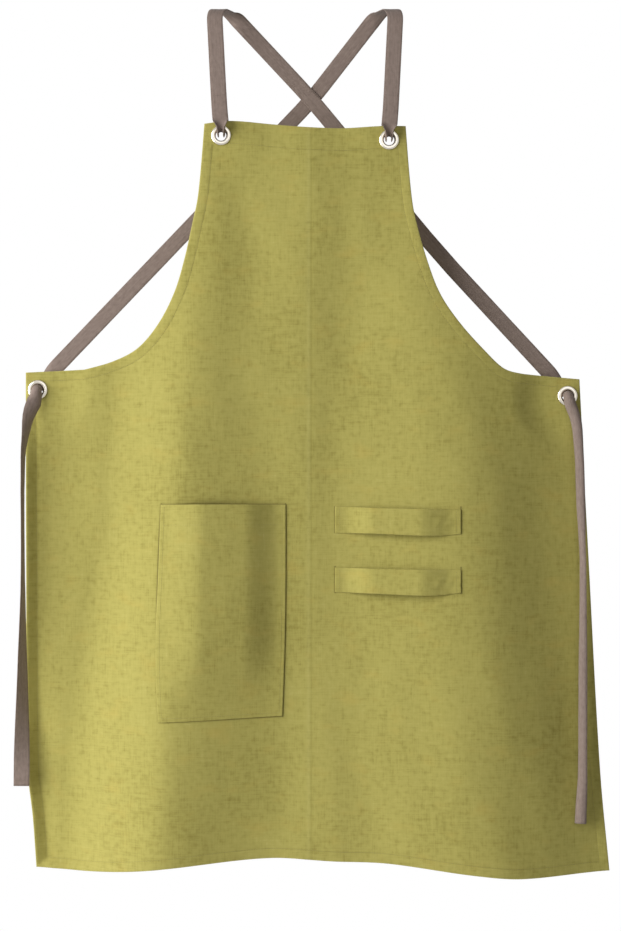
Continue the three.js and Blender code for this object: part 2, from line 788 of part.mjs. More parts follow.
addPiece("apron_cloth", apronCloth(), linen);
addPiece("pocket", pocket(), linen);
addPiece("towel_loop_upper", towelLoop(loopTops[0]), linen);
addPiece("towel_loop_lower", towelLoop(loopTops[1]), linen);
for (const [name, eyelet] of Object.entries(eyelets)) {
  addPiece(`eyelet_${name}`, grommet(eyelet), nickel);
  addPiece(`washer_${name}`, washer(eyelet), nickel);
}
for (const name of Object.keys(straps)) addPiece(`strap_${name}`, strap(name), tape);

export default apron;
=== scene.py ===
"""Dresses the cross back apron: olive linen with stitched hems, a patch pocket and two loops, hung by
taupe tape that crosses behind and passes through nickel eyelets. Everything is in the part's own frame."""

import logging
import math
from dataclasses import dataclass, field
from enum import Enum
from typing import Iterable, Optional, Sequence, Union

import bpy
import numpy as np
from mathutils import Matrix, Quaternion, Vector, noise
from mathutils.geometry import delaunay_2d_cdt


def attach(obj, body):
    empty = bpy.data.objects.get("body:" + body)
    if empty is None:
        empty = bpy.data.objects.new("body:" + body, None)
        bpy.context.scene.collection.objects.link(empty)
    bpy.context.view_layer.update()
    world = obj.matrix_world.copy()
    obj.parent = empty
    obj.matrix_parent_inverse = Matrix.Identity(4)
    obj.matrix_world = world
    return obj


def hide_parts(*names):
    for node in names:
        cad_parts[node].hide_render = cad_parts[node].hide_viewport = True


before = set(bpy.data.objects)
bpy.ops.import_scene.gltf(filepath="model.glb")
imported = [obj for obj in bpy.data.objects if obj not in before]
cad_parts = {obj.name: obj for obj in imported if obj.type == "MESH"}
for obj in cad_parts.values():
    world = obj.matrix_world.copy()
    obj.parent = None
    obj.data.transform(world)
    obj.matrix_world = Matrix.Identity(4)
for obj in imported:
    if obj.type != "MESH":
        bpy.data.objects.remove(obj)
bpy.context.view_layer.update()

log = logging.getLogger("apron")
Array = np.ndarray
MM = 0.001

# A distance, in millimetres, that reads as far from any edge
FAR = 99.0


def smooth(t: Array) -> Array:
    """Eases from 0 to 1.

    Args:
        t: how far along, clamped to 0 and 1.

    Returns:
        The eased share.
    """
    s = np.clip(t, 0.0, 1.0)
    return s * s * (3 - 2 * s)


def bump(t: Array, width: float) -> Array:
    """A rounded ridge of height 1 at 0, about twice as broad as width."""
    return np.exp(-((np.asarray(t) / width) ** 2))


@dataclass(frozen=True)
class Table:
    """Rows of shares with named columns. The first column is the key."""

    columns: tuple[str, ...]
    rows: tuple[tuple[float, ...], ...]

    def column(self, name: str) -> Array:
        """The values of one column."""
        return np.array([row[self.columns.index(name)] for row in self.rows], float)

    def at(self, name: str, levels: Union[float, Array]) -> Array:
        """Reads a column along a smooth curve through its rows.

        Args:
            name: the column.
            levels: where to read it, in the key's units.

        Returns:
            The column's value at each level.
        """
        keys = self.column(self.columns[0])
        values = self.column(name)
        last = len(keys) - 1
        place = np.clip(np.asarray(levels, float), keys[0], keys[last])
        i = np.clip(np.searchsorted(keys, place, side="right") - 1, 0, last - 1)
        before, after = np.maximum(i - 1, 0), np.minimum(i + 2, last)
        span = keys[i + 1] - keys[i]
        t = (place - keys[i]) / span
        slope_a = (values[i + 1] - values[before]) / (keys[i + 1] - keys[before]) * span
        slope_b = (values[after] - values[i]) / (keys[after] - keys[i]) * span
        t2, t3 = t * t, t * t * t
        ends = (2 * t3 - 3 * t2 + 1) * values[i] + (3 * t2 - 2 * t3) * values[i + 1]
        return ends + (t3 - 2 * t2 + t) * slope_a + (t3 - t2) * slope_b


class Side(Enum):
    """The two sides, as they lie seen from the front."""

    LEFT = -1
    RIGHT = 1

    @property
    def other(self) -> "Side":
        """The opposite side."""
        return Side.RIGHT if self is Side.LEFT else Side.LEFT

    @property
    def word(self) -> str:
        """The side's name in lower case."""
        return self.name.lower()


@dataclass(frozen=True)
class SideSizes:
    """How one side of the cloth hangs, in millimetres and shares."""

    wing_drop: float
    wing_dip: float
    hem_rise: float
    armhole: Table
    flare: Table


FOLD_LINES = ("down", "edgeL", "breakL", "ridgeL", "valleyL", "mid", "valleyR", "ridgeR", "edgeR")


@dataclass(frozen=True)
class ClothSizes:
    """Sizes of the main cloth, in millimetres, with its tables of shares."""

    thickness: float = 1.5
    height: float = 903
    bib_width: float = 241.5
    bib_sag: float = 8.5
    wing_span: float = 668
    fold_depth: float = 46
    top: float = -138
    hang_depth: float = 34
    hem_width: float = 11.5
    top_hem: float = 27
    panel_tilt: float = 12
    sides: dict[Side, SideSizes] = field(
        default_factory=lambda: {
            Side.LEFT: SideSizes(
                wing_drop=298,
                wing_dip=3,
                hem_rise=0.004,
                armhole=Table(
                    ("out", "down"),
                    (
                        (0.032, 0.283), (0.064, 0.404), (0.114, 0.565), (0.17, 0.695),
                        (0.258, 0.816), (0.376, 0.913), (0.523, 0.967), (0.681, 0.999),
                    ),
                ),
                flare=Table(
                    ("down", "reach"), ((0, 1.011), (0.35, 1.011), (0.8, 1.006), (0.9, 0.987), (1, 0.974))
                ),
            ),
            Side.RIGHT: SideSizes(
                wing_drop=306,
                wing_dip=4,
                hem_rise=0.007,
                armhole=Table(
                    ("out", "down"),
                    (
                        (0.03, 0.282), (0.059, 0.399), (0.121, 0.555), (0.191, 0.682),
                        (0.298, 0.794), (0.432, 0.899), (0.545, 0.972), (0.651, 0.993),
                    ),
                ),
                flare=Table(("down", "reach"), ((0, 0.985), (0.35, 1.017), (0.8, 1.057), (1, 1.088))),
            ),
        }
    )
    bib_edge: Table = Table(
        ("across", "dip"),
        ((-1, 0.4), (-0.75, 0), (-0.3, 0.5), (0, 0.85), (0.4, 1), (0.8, 0.72), (1, 0.75)),
    )
    hem_wave: Table = Table(
        ("across", "rise"),
        (
            (-0.78, 0.002), (-0.49, 0.0145), (-0.12, 0.0245), (0.1, 0.0205),
            (0.3, 0.0185), (0.6, 0.006), (0.78, 0.001),
        ),
    )
    fold_across: Table = Table(
        FOLD_LINES,
        (
            (0, -1, -0.7, -0.33, -0.21, -0.01, 0.15, 0.38, 1),
            (0.17, -1, -0.7, -0.35, -0.19, 0.01, 0.15, 0.45, 1),
            (0.34, -1, -0.71, -0.4, -0.16, 0, 0.12, 0.53, 1),
            (0.52, -1, -0.74, -0.43, -0.08, 0.02, 0.09, 0.57, 1.03),
            (0.77, -1, -0.86, -0.47, -0.05, 0.03, 0.1, 0.62, 1.07),
            (1, -0.97, -0.9, -0.51, -0.11, 0.03, 0.15, 0.66, 1.11),
        ),
    )
    fold_back: Table = Table(
        FOLD_LINES,
        (
            (0, 0.4, 0.2, -0.02, 0.02, -0.02, 0.03, -0.04, 0),
            (0.17, 0.43, 0.2, -0.15, -0.06, -0.15, -0.09, -0.26, 0),
            (0.34, 0.44, 0.26, -0.33, -0.17, -0.2, -0.17, -0.54, -0.04),
            (0.52, 0.48, 0.26, -0.48, -0.22, -0.24, -0.22, -0.68, 0),
            (0.77, 0.52, 0.4, -0.78, -0.35, -0.37, -0.38, -0.87, -0.12),
            (1, 0.52, 0.44, -0.96, -0.43, -0.48, -0.52, -1, -0.3),
        ),
    )

    @property
    def half_wing(self) -> float:
        """Half the wing span."""
        return self.wing_span / 2

    @property
    def hem(self) -> float:
        """The height of the hem's lowest line."""
        return self.top - self.height


@dataclass(frozen=True)
class EyeletSizes:
    """Sizes of an eyelet and where the four sit, in millimetres."""

    hole: float = 12.7
    flange: float = 24
    wall: float = 0.6
    dome: float = 2
    washer: float = 1
    clearance: float = 0.3
    bib_from_side: float = 20
    bib_from_top: float = 17
    wing_from_side: float = 14.5
    wing_from_top: float = 24
    clinch_lip: float = 1.4
    washer_inset: float = 0.5
    bevel: float = 1.2

    @property
    def barrel(self) -> float:
        """The barrel's outer radius."""
        return self.hole / 2 + self.wall


class ClothForm:
    """The hanging form of the main cloth: its outline, its folds and its faces."""

    flat_round_eyelet = 4
    taut_round_patch = 12
    loosens_over = 45
    slope_step = 1.5

    def __init__(self, sizes: ClothSizes, eyelet: EyeletSizes, patches: Sequence["PatchSizes"]) -> None:
        """Works out where the eyelets sit.

        Args:
            sizes: the cloth's sizes.
            eyelet: the eyelets' sizes.
            patches: the patches sewn on the cloth.
        """
        self.sizes = sizes
        self.patches = patches
        self.eyelet = eyelet
        self.eyelets: dict[str, Vector] = {}
        half = sizes.bib_width / 2
        for side, own in sizes.sides.items():
            across = side.value * (1 - eyelet.bib_from_side / half)
            dip = float(sizes.bib_edge.at("dip", across)) * sizes.bib_sag
            self._place(f"bib_{side.word}", across * half, sizes.top - dip - eyelet.bib_from_top)
            reach = sizes.half_wing * own.flare.column("reach")[0] - eyelet.wing_from_side
            height = sizes.top - own.wing_drop - eyelet.wing_from_top
            self._place(f"wing_{side.word}", side.value * reach, height)

    def _place(self, name: str, x: float, z: float) -> None:
        """Notes one eyelet's centre on the folds."""
        self.eyelets[name] = Vector((x, float(self.folds(np.array(x), np.array(z))), z))

    def folds(self, x: Array, z: Array) -> Array:
        """Depth of the folds alone.

        Args:
            x: places across, in millimetres.
            z: heights, in millimetres.

        Returns:
            The depth towards the back at each place.
        """
        sizes = self.sizes
        down = (sizes.top - np.asarray(z, float)) / sizes.height
        places = [sizes.fold_across.at(name, down) * sizes.half_wing for name in FOLD_LINES[1:]]
        depths = [sizes.fold_back.at(name, down) * sizes.fold_depth for name in FOLD_LINES[1:]]
        depth = depths[0]
        for i in range(1, len(places)):
            t = (x - places[i - 1]) / (places[i] - places[i - 1])
            between = depths[i - 1] + (depths[i] - depths[i - 1]) * smooth(t)
            depth = np.where(x > places[i - 1], between, depth)
        return depth

    def middle(self, x: Array, z: Array) -> Array:
        """Depth of the cloth's middle: the folds, pressed flat round each eyelet."""
        depth = self.folds(x, z)
        reach = (self.eyelet.flange / 2 + self.flat_round_eyelet) * math.sqrt(2)
        for e in self.eyelets.values():
            away = np.hypot(x - e.x, z - e.z)
            depth = e.y + (depth - e.y) * smooth((away - reach - 1) / (2 * reach))
        return depth

    def slack(self, x: Array, z: Array) -> Array:
        """Small unevenness of hanging linen, in millimetres, none of it next to an eyelet."""
        flat_x, flat_z = np.ravel(x), np.ravel(z)
        made = np.empty(len(flat_x))
        for i, (a, b) in enumerate(zip(flat_x, flat_z)):
            broad = noise.noise((a / 62, b / 150, 3.1))
            lean = noise.noise(((a + 0.35 * b) / 34, (b - 0.35 * a) / 88, 7.7))
            fine = noise.noise((a / 15, b / 24, 12.4))
            made[i] = 1.5 * broad + 0.7 * lean + 0.22 * fine
        made = made.reshape(np.shape(x)) * self._loose(np.asarray(x), np.asarray(z))
        share = -np.asarray(x) / self.sizes.half_wing
        down = (self.sizes.top - np.asarray(z)) / self.sizes.height
        made = made - self.sizes.panel_tilt * smooth((share - 0.62) / 0.5) * smooth((down - 0.36) / 0.12)
        for e in self.eyelets.values():
            made = made * smooth((np.hypot(x - e.x, z - e.z) - 15) / 25)
        return made

    def _loose(self, x: Array, z: Array) -> Array:
        """How free the cloth is to be uneven: not at all under a patch, so that its opening stays clear."""
        free = np.ones(np.shape(x))
        for patch in self.patches:
            aside = np.abs(x - patch.left - patch.width / 2) - patch.width / 2
            above = np.abs(z - patch.top + patch.height / 2) - patch.height / 2
            free = free * smooth((np.maximum(aside, above) - self.taut_round_patch) / self.loosens_over)
        return free

    def surface(self, x: Array, z: Array) -> tuple[Array, Array]:
        """The cloth's middle and its normal.

        Args:
            x: places across, in millimetres.
            z: heights, in millimetres.

        Returns:
            Points, and unit normals towards the front.
        """
        x, z = np.asarray(x, float), np.asarray(z, float)
        h = self.slope_step
        dx = (self.middle(x + h, z) - self.middle(x - h, z)) / (2 * h)
        dz = (self.middle(x, z + h) - self.middle(x, z - h)) / (2 * h)
        normal = np.stack([dx, -np.ones_like(dx), dz], -1)
        normal /= np.linalg.norm(normal, axis=-1, keepdims=True)
        return np.stack([x, self.middle(x, z), z], -1), normal

    def outline(self, step: float) -> Array:
        """The cloth's outline from the bib's left corner, down the left side and round.

        Args:
            step: about how far apart the points are, in millimetres.

        Returns:
            Points in x and z, the last next to the first.
        """
        top = self._top_edge()
        left = self._side_edge(Side.LEFT, top[0])
        right = self._side_edge(Side.RIGHT, top[-1])
        corners = np.concatenate([left, self._hem_edge()[1:-1], right[::-1], top[::-1][1:-1]])
        return resampled(corners, step)

    def hem_guide(self, step: float) -> Array:
        """The outline with its top lowered, so that every hem's seam lies one hem width inside it.

        Args:
            step: about how far apart the points are, in millimetres.

        Returns:
            Points in x and z.
        """
        sizes = self.sizes
        loop = self.outline(step)
        lowered = sizes.top_hem - sizes.hem_width
        half = sizes.bib_width / 2
        across, height = np.abs(loop[:, 0]), loop[:, 1]
        on_top = (height > sizes.top - sizes.bib_sag - 0.5) & (across < half + 0.3)
        beside = ~on_top & (height > sizes.top - sizes.bib_sag - lowered) & (across < half + 6)
        loop = np.stack([loop[:, 0], height - lowered * on_top], -1)
        return loop[~beside]

    def _top_edge(self) -> Array:
        """The bib's top edge from left to right."""
        across = np.linspace(-1, 1, 41)
        dip = self.sizes.bib_edge.at("dip", across) * self.sizes.bib_sag
        return np.stack([across * self.sizes.bib_width / 2, self.sizes.top - dip], -1)

    def _side_edge(self, side: Side, corner: Array) -> Array:
        """One side's edge from the bib's corner round the armhole and down to the hem."""
        sizes, own = self.sizes, self.sizes.sides[side]
        half = sizes.bib_width / 2
        out = half + own.armhole.column("out") * (sizes.half_wing - half)
        down = sizes.top - own.armhole.column("down") * own.wing_drop
        armhole = rounded(np.concatenate([[corner], np.stack([side.value * out, down], -1)]), 12)
        share = np.linspace(0, 1, 60)
        low = sizes.hem + own.hem_rise * sizes.height
        high = sizes.top - own.wing_drop - own.wing_dip
        reach = side.value * sizes.half_wing * own.flare.at("reach", share)
        return np.concatenate([armhole, np.stack([reach, high + (low - high) * share], -1)])

    def _hem_edge(self) -> Array:
        """The hem from left to right."""
        sizes = self.sizes
        ends = {side: side.value * own.flare.column("reach")[-1] for side, own in sizes.sides.items()}
        rows = (
            (ends[Side.LEFT], sizes.sides[Side.LEFT].hem_rise),
            *sizes.hem_wave.rows,
            (ends[Side.RIGHT], sizes.sides[Side.RIGHT].hem_rise),
        )
        across = np.linspace(ends[Side.LEFT], ends[Side.RIGHT], 140)
        rise = Table(("across", "rise"), rows).at("rise", across)
        return np.stack([across * sizes.half_wing, sizes.hem + rise * sizes.height], -1)


def rounded(points: Array, steps: int) -> Array:
    """A smooth curve through points.

    Args:
        points: what the curve goes through.
        steps: how many pieces lie between two of them.

    Returns:
        Points along the curve.
    """
    before = np.concatenate([points[:1], points[:-2]])
    after = np.concatenate([points[2:], points[-1:]])
    t = (np.arange(steps) / steps)[:, None, None]
    a, b = points[:-1], points[1:]
    square = 2 * before - 5 * a + 4 * b - after
    cube = 3 * a - before - 3 * b + after
    curve = 0.5 * (2 * a + (b - before) * t + square * t**2 + cube * t**3)
    return np.concatenate([curve.transpose(1, 0, 2).reshape(-1, points.shape[1]), points[-1:]])


def resampled(loop: Array, step: float, sharp: float = 0.5) -> Array:
    """Points at about one spacing round a closed loop, with its sharp corners kept.

    Args:
        loop: the loop's points.
        step: about how far apart the new ones are.
        sharp: the turn, in radians, from which a point counts as a corner.

    Returns:
        The new points.
    """
    ahead = np.roll(loop, -1, 0) - loop
    behind = loop - np.roll(loop, 1, 0)
    turn = np.arctan2(
        behind[:, 0] * ahead[:, 1] - behind[:, 1] * ahead[:, 0], (behind * ahead).sum(1)
    )
    corners = np.nonzero(np.abs(turn) > sharp)[0]
    made = []
    for i, start in enumerate(corners):
        end = corners[(i + 1) % len(corners)]
        count = (end - start) % len(loop) or len(loop)
        stretch = loop[(start + np.arange(count + 1)) % len(loop)]
        made.append(spaced(stretch, step)[:-1])
    return np.concatenate(made)


def spaced(points: Array, step: float) -> Array:
    """Evenly spaced points along an open line.

    Args:
        points: the line's points.
        step: about how far apart the new ones are.

    Returns:
        The new points, with both ends.
    """
    along = np.concatenate([[0], np.cumsum(np.linalg.norm(np.diff(points, axis=0), axis=1))])
    count = max(1, round(along[-1] / step))
    places = np.linspace(0, along[-1], count + 1)
    return np.stack([np.interp(places, along, points[:, k]) for k in range(points.shape[1])], -1)


def length_of(points: Array) -> float:
    """The length of a line of points."""
    return float(np.linalg.norm(np.diff(points, axis=0), axis=1).sum())


def area_of(points: Array, faces: list) -> float:
    """The area of triangles and quads."""
    total = 0.0
    for sides in (3, 4):
        own = np.array([f for f in faces if len(f) == sides])
        for k in range(1, sides - 1) if len(own) else ():
            a, b, c = points[own[:, 0]], points[own[:, k]], points[own[:, k + 1]]
            total += float(np.linalg.norm(np.cross(b - a, c - a), axis=1).sum()) / 2
    return total


def distance_to(loop: Array, points: Array) -> Array:
    """How far points lie from a closed loop.

    Args:
        loop: the loop's points.
        points: the places to measure from.

    Returns:
        The distances, below zero outside the loop.
    """
    a, b = loop, np.roll(loop, -1, 0)
    ab = b - a
    best = np.full(len(points), np.inf)
    inside = np.zeros(len(points), bool)
    for start, along, size in zip(a, ab, (ab * ab).sum(1)):
        away = points - start
        t = np.clip(away @ along / size, 0, 1)
        best = np.minimum(best, ((away - t[:, None] * along) ** 2).sum(1))
        spans = (away[:, 1] >= 0) != (away[:, 1] >= along[1])
        if along[1]:
            inside ^= spans & (away[:, 0] < along[0] * away[:, 1] / along[1])
    return np.where(inside, 1, -1) * np.sqrt(best)


def inset(loop: Array, distance: float) -> Array:
    """A closed loop moved inwards, without the points that come too near its other parts.

    Args:
        loop: the loop, anticlockwise seen from the front.
        distance: how far to move it.

    Returns:
        The moved points.
    """
    ahead = np.roll(loop, -1, 0) - loop
    behind = loop - np.roll(loop, 1, 0)
    ahead /= np.linalg.norm(ahead, axis=1, keepdims=True)
    behind /= np.linalg.norm(behind, axis=1, keepdims=True)
    inward = np.stack([-(ahead + behind)[:, 1], (ahead + behind)[:, 0]], -1)
    inward /= np.linalg.norm(inward, axis=1, keepdims=True)
    half_turn = np.clip((inward * np.stack([-ahead[:, 1], ahead[:, 0]], -1)).sum(1), 0.4, 1)
    moved = loop + inward * (distance / half_turn)[:, None]
    return moved[distance_to(loop, moved) > distance - 0.08]


class Value:
    """A number in a shader. Arithmetic on it adds the nodes that work it out."""

    def __init__(self, graph: "Graph", socket: bpy.types.NodeSocket) -> None:
        """Wraps a socket.

        Args:
            graph: the graph that the socket is in.
            socket: the socket.
        """
        self.graph = graph
        self.socket = socket

    def math(self, operation: str, *others: "Number", clamp: bool = False) -> "Value":
        """One step of arithmetic.

        Args:
            operation: the Math node's operation.
            others: its second and third values.
            clamp: whether the result is kept from 0 to 1.

        Returns:
            The result.
        """
        settings = {"operation": operation, "use_clamp": clamp}
        return self.graph.value("ShaderNodeMath", settings, self, *others)

    def __add__(self, other: "Number") -> "Value":
        """Sum."""
        return self.math("ADD", other)

    __radd__ = __add__

    def __sub__(self, other: "Number") -> "Value":
        """Difference."""
        return self.math("SUBTRACT", other)

    def __rsub__(self, other: "Number") -> "Value":
        """Difference, this one taken away."""
        return self.graph.value("ShaderNodeMath", {"operation": "SUBTRACT"}, other, self)

    def __mul__(self, other: "Number") -> "Value":
        """Product."""
        return self.math("MULTIPLY", other)

    __rmul__ = __mul__

    def __truediv__(self, other: "Number") -> "Value":
        """Quotient."""
        return self.math("DIVIDE", other)

    def __rtruediv__(self, other: "Number") -> "Value":
        """Quotient, by this one."""
        return self.graph.value("ShaderNodeMath", {"operation": "DIVIDE"}, other, self)

    def __pow__(self, other: "Number") -> "Value":
        """Power."""
        return self.math("POWER", other)

    def __neg__(self) -> "Value":
        """The value below zero."""
        return self * -1

    def __abs__(self) -> "Value":
        """The value without its sign."""
        return self.math("ABSOLUTE")

    def sin(self) -> "Value":
        """Sine of the value in radians."""
        return self.math("SINE")

    def floor(self) -> "Value":
        """The whole number below."""
        return self.math("FLOOR")

    def wrap(self, period: float) -> "Value":
        """What is left over after whole periods."""
        return self.math("WRAP", period, 0.0)

    def between(self, low: float, high: float) -> "Value":
        """Eases from 0 at low to 1 at high."""
        settings = {"interpolation_type": "SMOOTHSTEP"}
        return self.graph.value("ShaderNodeMapRange", settings, self, low, high)

    def ridge(self, width: float) -> "Value":
        """A rounded ridge of height 1 at 0."""
        return 1 / (1 + (self / width) ** 2) ** 2


Number = Union[Value, float]


class Graph:
    """The nodes of a material or world."""

    def __init__(self, owner: Union[bpy.types.Material, bpy.types.World]) -> None:
        """Empties the owner's node tree.

        Args:
            owner: what the nodes belong to.
        """
        owner.use_nodes = True
        self.tree = owner.node_tree
        self.tree.nodes.clear()

    def node(self, kind: str, settings: dict, inputs: dict) -> bpy.types.Node:
        """Adds a node.

        Args:
            kind: its type.
            settings: what is set on the node itself, which is done first.
            inputs: a number, colour, value or socket for each input, by name or place.

        Returns:
            The node.
        """
        made = self.tree.nodes.new(kind)
        for key, setting in settings.items():
            setattr(made, key, setting)
        for key, given in inputs.items():
            given = given.socket if isinstance(given, Value) else given
            if isinstance(given, bpy.types.NodeSocket):
                self.tree.links.new(given, made.inputs[key])
            else:
                made.inputs[key].default_value = given
        return made

    def value(self, kind: str, settings: dict, *inputs: Number) -> Value:
        """Adds a node whose first output is a number, with its inputs in order."""
        return Value(self, self.node(kind, settings, dict(enumerate(inputs))).outputs[0])

    def colour(self, mask: Number, low: object, high: object) -> bpy.types.NodeSocket:
        """Mixes two colours.

        Args:
            mask: 0 for the first and 1 for the second.
            low: the first, as a socket or numbers.
            high: the second.

        Returns:
            The mixed colour's socket.
        """
        settings = {"data_type": "RGBA", "clamp_factor": True}
        return self.node("ShaderNodeMix", settings, {0: mask, 6: low, 7: high}).outputs[2]

    def place(self, layer: str) -> tuple[Value, Value]:
        """The surface's flat coordinates in millimetres.

        Args:
            layer: the UV layer that holds them in metres.

        Returns:
            The place across and the place along.
        """
        flat = self.node("ShaderNodeUVMap", {"uv_map": layer}, {}).outputs[0]
        parts = self.node("ShaderNodeSeparateXYZ", {}, {0: flat}).outputs
        return Value(self, parts[0]) * 1000, Value(self, parts[1]) * 1000

    def attribute(self, name: str) -> Value:
        """A number kept on the mesh."""
        made = self.node("ShaderNodeAttribute", {"attribute_name": name}, {})
        return Value(self, made.outputs["Fac"])

    def noise(self, x: Number, y: Number, z: Number = 0.0, detail: float = 2.0) -> Value:
        """Smooth noise from 0 to 1.

        Args:
            x: first coordinate, in units of the noise's size.
            y: second coordinate.
            z: third, also used to tell one noise from another.
            detail: how many finer noises are added.

        Returns:
            The noise.
        """
        at = self.node("ShaderNodeCombineXYZ", {}, {0: x, 1: y, 2: z}).outputs[0]
        made = self.node("ShaderNodeTexNoise", {}, {"Vector": at, "Scale": 1.0, "Detail": detail})
        return Value(self, made.outputs[0])

    def surface(self, height: Optional[Value], reach: float, inputs: dict) -> None:
        """Ends the graph with a Principled shader.

        Args:
            height: the fine relief in millimetres, or None.
            reach: how strongly the relief shows.
            inputs: the shader's inputs.
        """
        if height is not None:
            raised = {"Height": height, "Strength": reach, "Distance": MM}
            inputs = inputs | {"Normal": self.node("ShaderNodeBump", {}, raised).outputs[0]}
        shader = self.node("ShaderNodeBsdfPrincipled", {}, inputs)
        self.node("ShaderNodeOutputMaterial", {}, {"Surface": shader.outputs[0]})


Colour = tuple[float, float, float, float]


def srgb(red: int, green: int, blue: int) -> Colour:
    """A colour given as on a screen.

    Args:
        red: red from 0 to 255.
        green: green.
        blue: blue.

    Returns:
        The colour in linear light, with alpha 1.
    """
    parts = [c / 255 for c in (red, green, blue)]
    linear = [c / 12.92 if c <= 0.04045 else ((c + 0.055) / 1.055) ** 2.4 for c in parts]
    return (*linear, 1.0)


@dataclass(frozen=True)
class LinenFinish:
    """Plain-woven linen with slubs, mottled by its uneven yarn, with painted shade along the patches' borders
    and a painted highlight and shade along the pressed crease.
    """

    name: str = "linen"
    base: Colour = srgb(178, 169, 91)
    deep: Colour = srgb(140, 131, 58)
    pale: Colour = srgb(208, 203, 130)
    straw: Colour = srgb(190, 168, 84)
    # Painted shade for the narrow gaps along the pocket's and loops' borders and round the pocket's mouth
    shade: Colour = srgb(88, 80, 34)
    pitch: float = 1.15
    # Where the pressed centre crease runs, in millimetres across; its painted highlight and painted shade lie
    # there
    crease: float = 8.0

    def material(self) -> bpy.types.Material:
        """Makes the material.

        Returns:
            The material.
        """
        made = bpy.data.materials.new(self.name)
        g = Graph(made)
        x, z = g.place("flat")
        edge = g.attribute("edge")
        sway_x = x + g.noise(x / 9, z / 30, 1.0) * 0.9
        sway_z = z + g.noise(x / 30, z / 9, 2.0) * 0.9
        warp_line = (sway_x / self.pitch).floor()
        weft_line = (sway_z / self.pitch).floor()
        warp_slub = g.noise(warp_line * 0.73, z / 26, 3.0, 3.0)
        weft_slub = g.noise(x / 26, weft_line * 0.73, 4.0, 3.0)
        warp = (sway_x * (math.pi / self.pitch)).sin()
        weft = (sway_z * (math.pi / self.pitch)).sin()
        over = (warp_line + weft_line).wrap(2.0)
        thread = over * (1 - weft * weft) + (1 - over) * (1 - warp * warp)
        mottle = g.noise(x / 7, z / 7, 5.0, 4.0)
        cloud = g.noise(x / 85, z / 130, 6.0, 2.0)
        slub = (warp_slub + weft_slub) - 1
        tone = 0.5 + slub * 0.34 + (mottle - 0.5) * 0.45 + (cloud - 0.5) * 0.3 - thread * 0.12
        low = g.colour(tone.between(0.1, 0.52), self.deep, self.base)
        high = g.colour(tone.between(0.5, 1.0), low, self.pale)
        tinted = g.colour(g.noise(x / 40, z / 22, 8.0, 3.0).between(0.52, 0.8) * 0.35, high, self.straw)
        seam = (g.attribute("hem") - ClothSizes().hem_width).ridge(1.3)
        worn = g.colour(seam * 0.1, tinted, self.deep)
        # Paler along the outermost 1.6 mm of the cloth's folded edge
        fold = (1 - edge.between(0.0, 1.6)) * 0.25
        # The pressed centre crease is painted: a painted highlight just to its left, on the side towards the
        # light, and a painted shade along its line
        edge_paled_and_crease_lit = g.colour(fold + (x - self.crease + 4).ridge(3.0) * 0.13, worn, self.pale)
        crease_shaded = g.colour((x - self.crease).ridge(1.7) * 0.24, edge_paled_and_crease_lit, self.deep)
        # Painted shade in the gaps along the patches' borders, on the cloth's front face only
        dark = g.colour(g.attribute("crevice") * self._crevice(x, z), crease_shaded, self.shade)
        pressed = (x - self.crease).ridge(2.2)
        relief = (1 - thread) * 0.12 + slub * 0.14 + mottle * 0.1 - seam * 0.2 - pressed * 0.2
        rough = 0.86 + (mottle - 0.5) * 0.12 + thread * 0.06
        sheen = {"Sheen Weight": 0.12, "Sheen Roughness": 0.5, "Specular IOR Level": 0.25}
        g.surface(relief, 0.55, {"Base Color": dark, "Roughness": rough} | sheen)
        return made

    def _crevice(self, x: Value, z: Value) -> Value:
        """Where painted shade darkens the cloth: in the narrow gaps along the borders of the pocket and
        loops, and round the pocket's mouth.

        Args:
            x: the place across, in millimetres.
            z: the height, in millimetres.

        Returns:
            How strong the painted shade is, from 0 to 1.
        """
        total: Number = 0.0
        for patch in (POCKET, *LOOPS):
            share = (patch.top - z) / patch.height
            left = patch.left + patch.width * patch.bow(share, "left")
            right = patch.left + patch.width * (1 + patch.bow(share, "right"))
            off = (left - x).math("MAXIMUM", x - right)
            low = patch.top - patch.height - patch.slant * (patch.left + patch.width - x) / patch.width - z
            off = off.math("MAXIMUM", low) if patch.mouth else off
            inside = share.between(-0.01, 0.0) * (1 - share.between(1.0, 1.02 + patch.slant / patch.height))
            # A painted shadow line in the gap along each patch's border
            total = off.ridge(1.3) * inside * 0.7 + total
            # Painted shade along the pocket's mouth, spreading round it most near its left middle
            if patch.mouth:
                across = (x - left).between(-0.5, 0.5) * (right - x).between(-0.5, 0.5)
                dim = (x - left - 0.4 * patch.width).ridge(0.3 * patch.width)
                above = z - patch.top
                total = total + across * above.ridge(1.4) * 0.6 + dim * above.ridge(7) * 0.4
        return total.math("MINIMUM", 1.0)


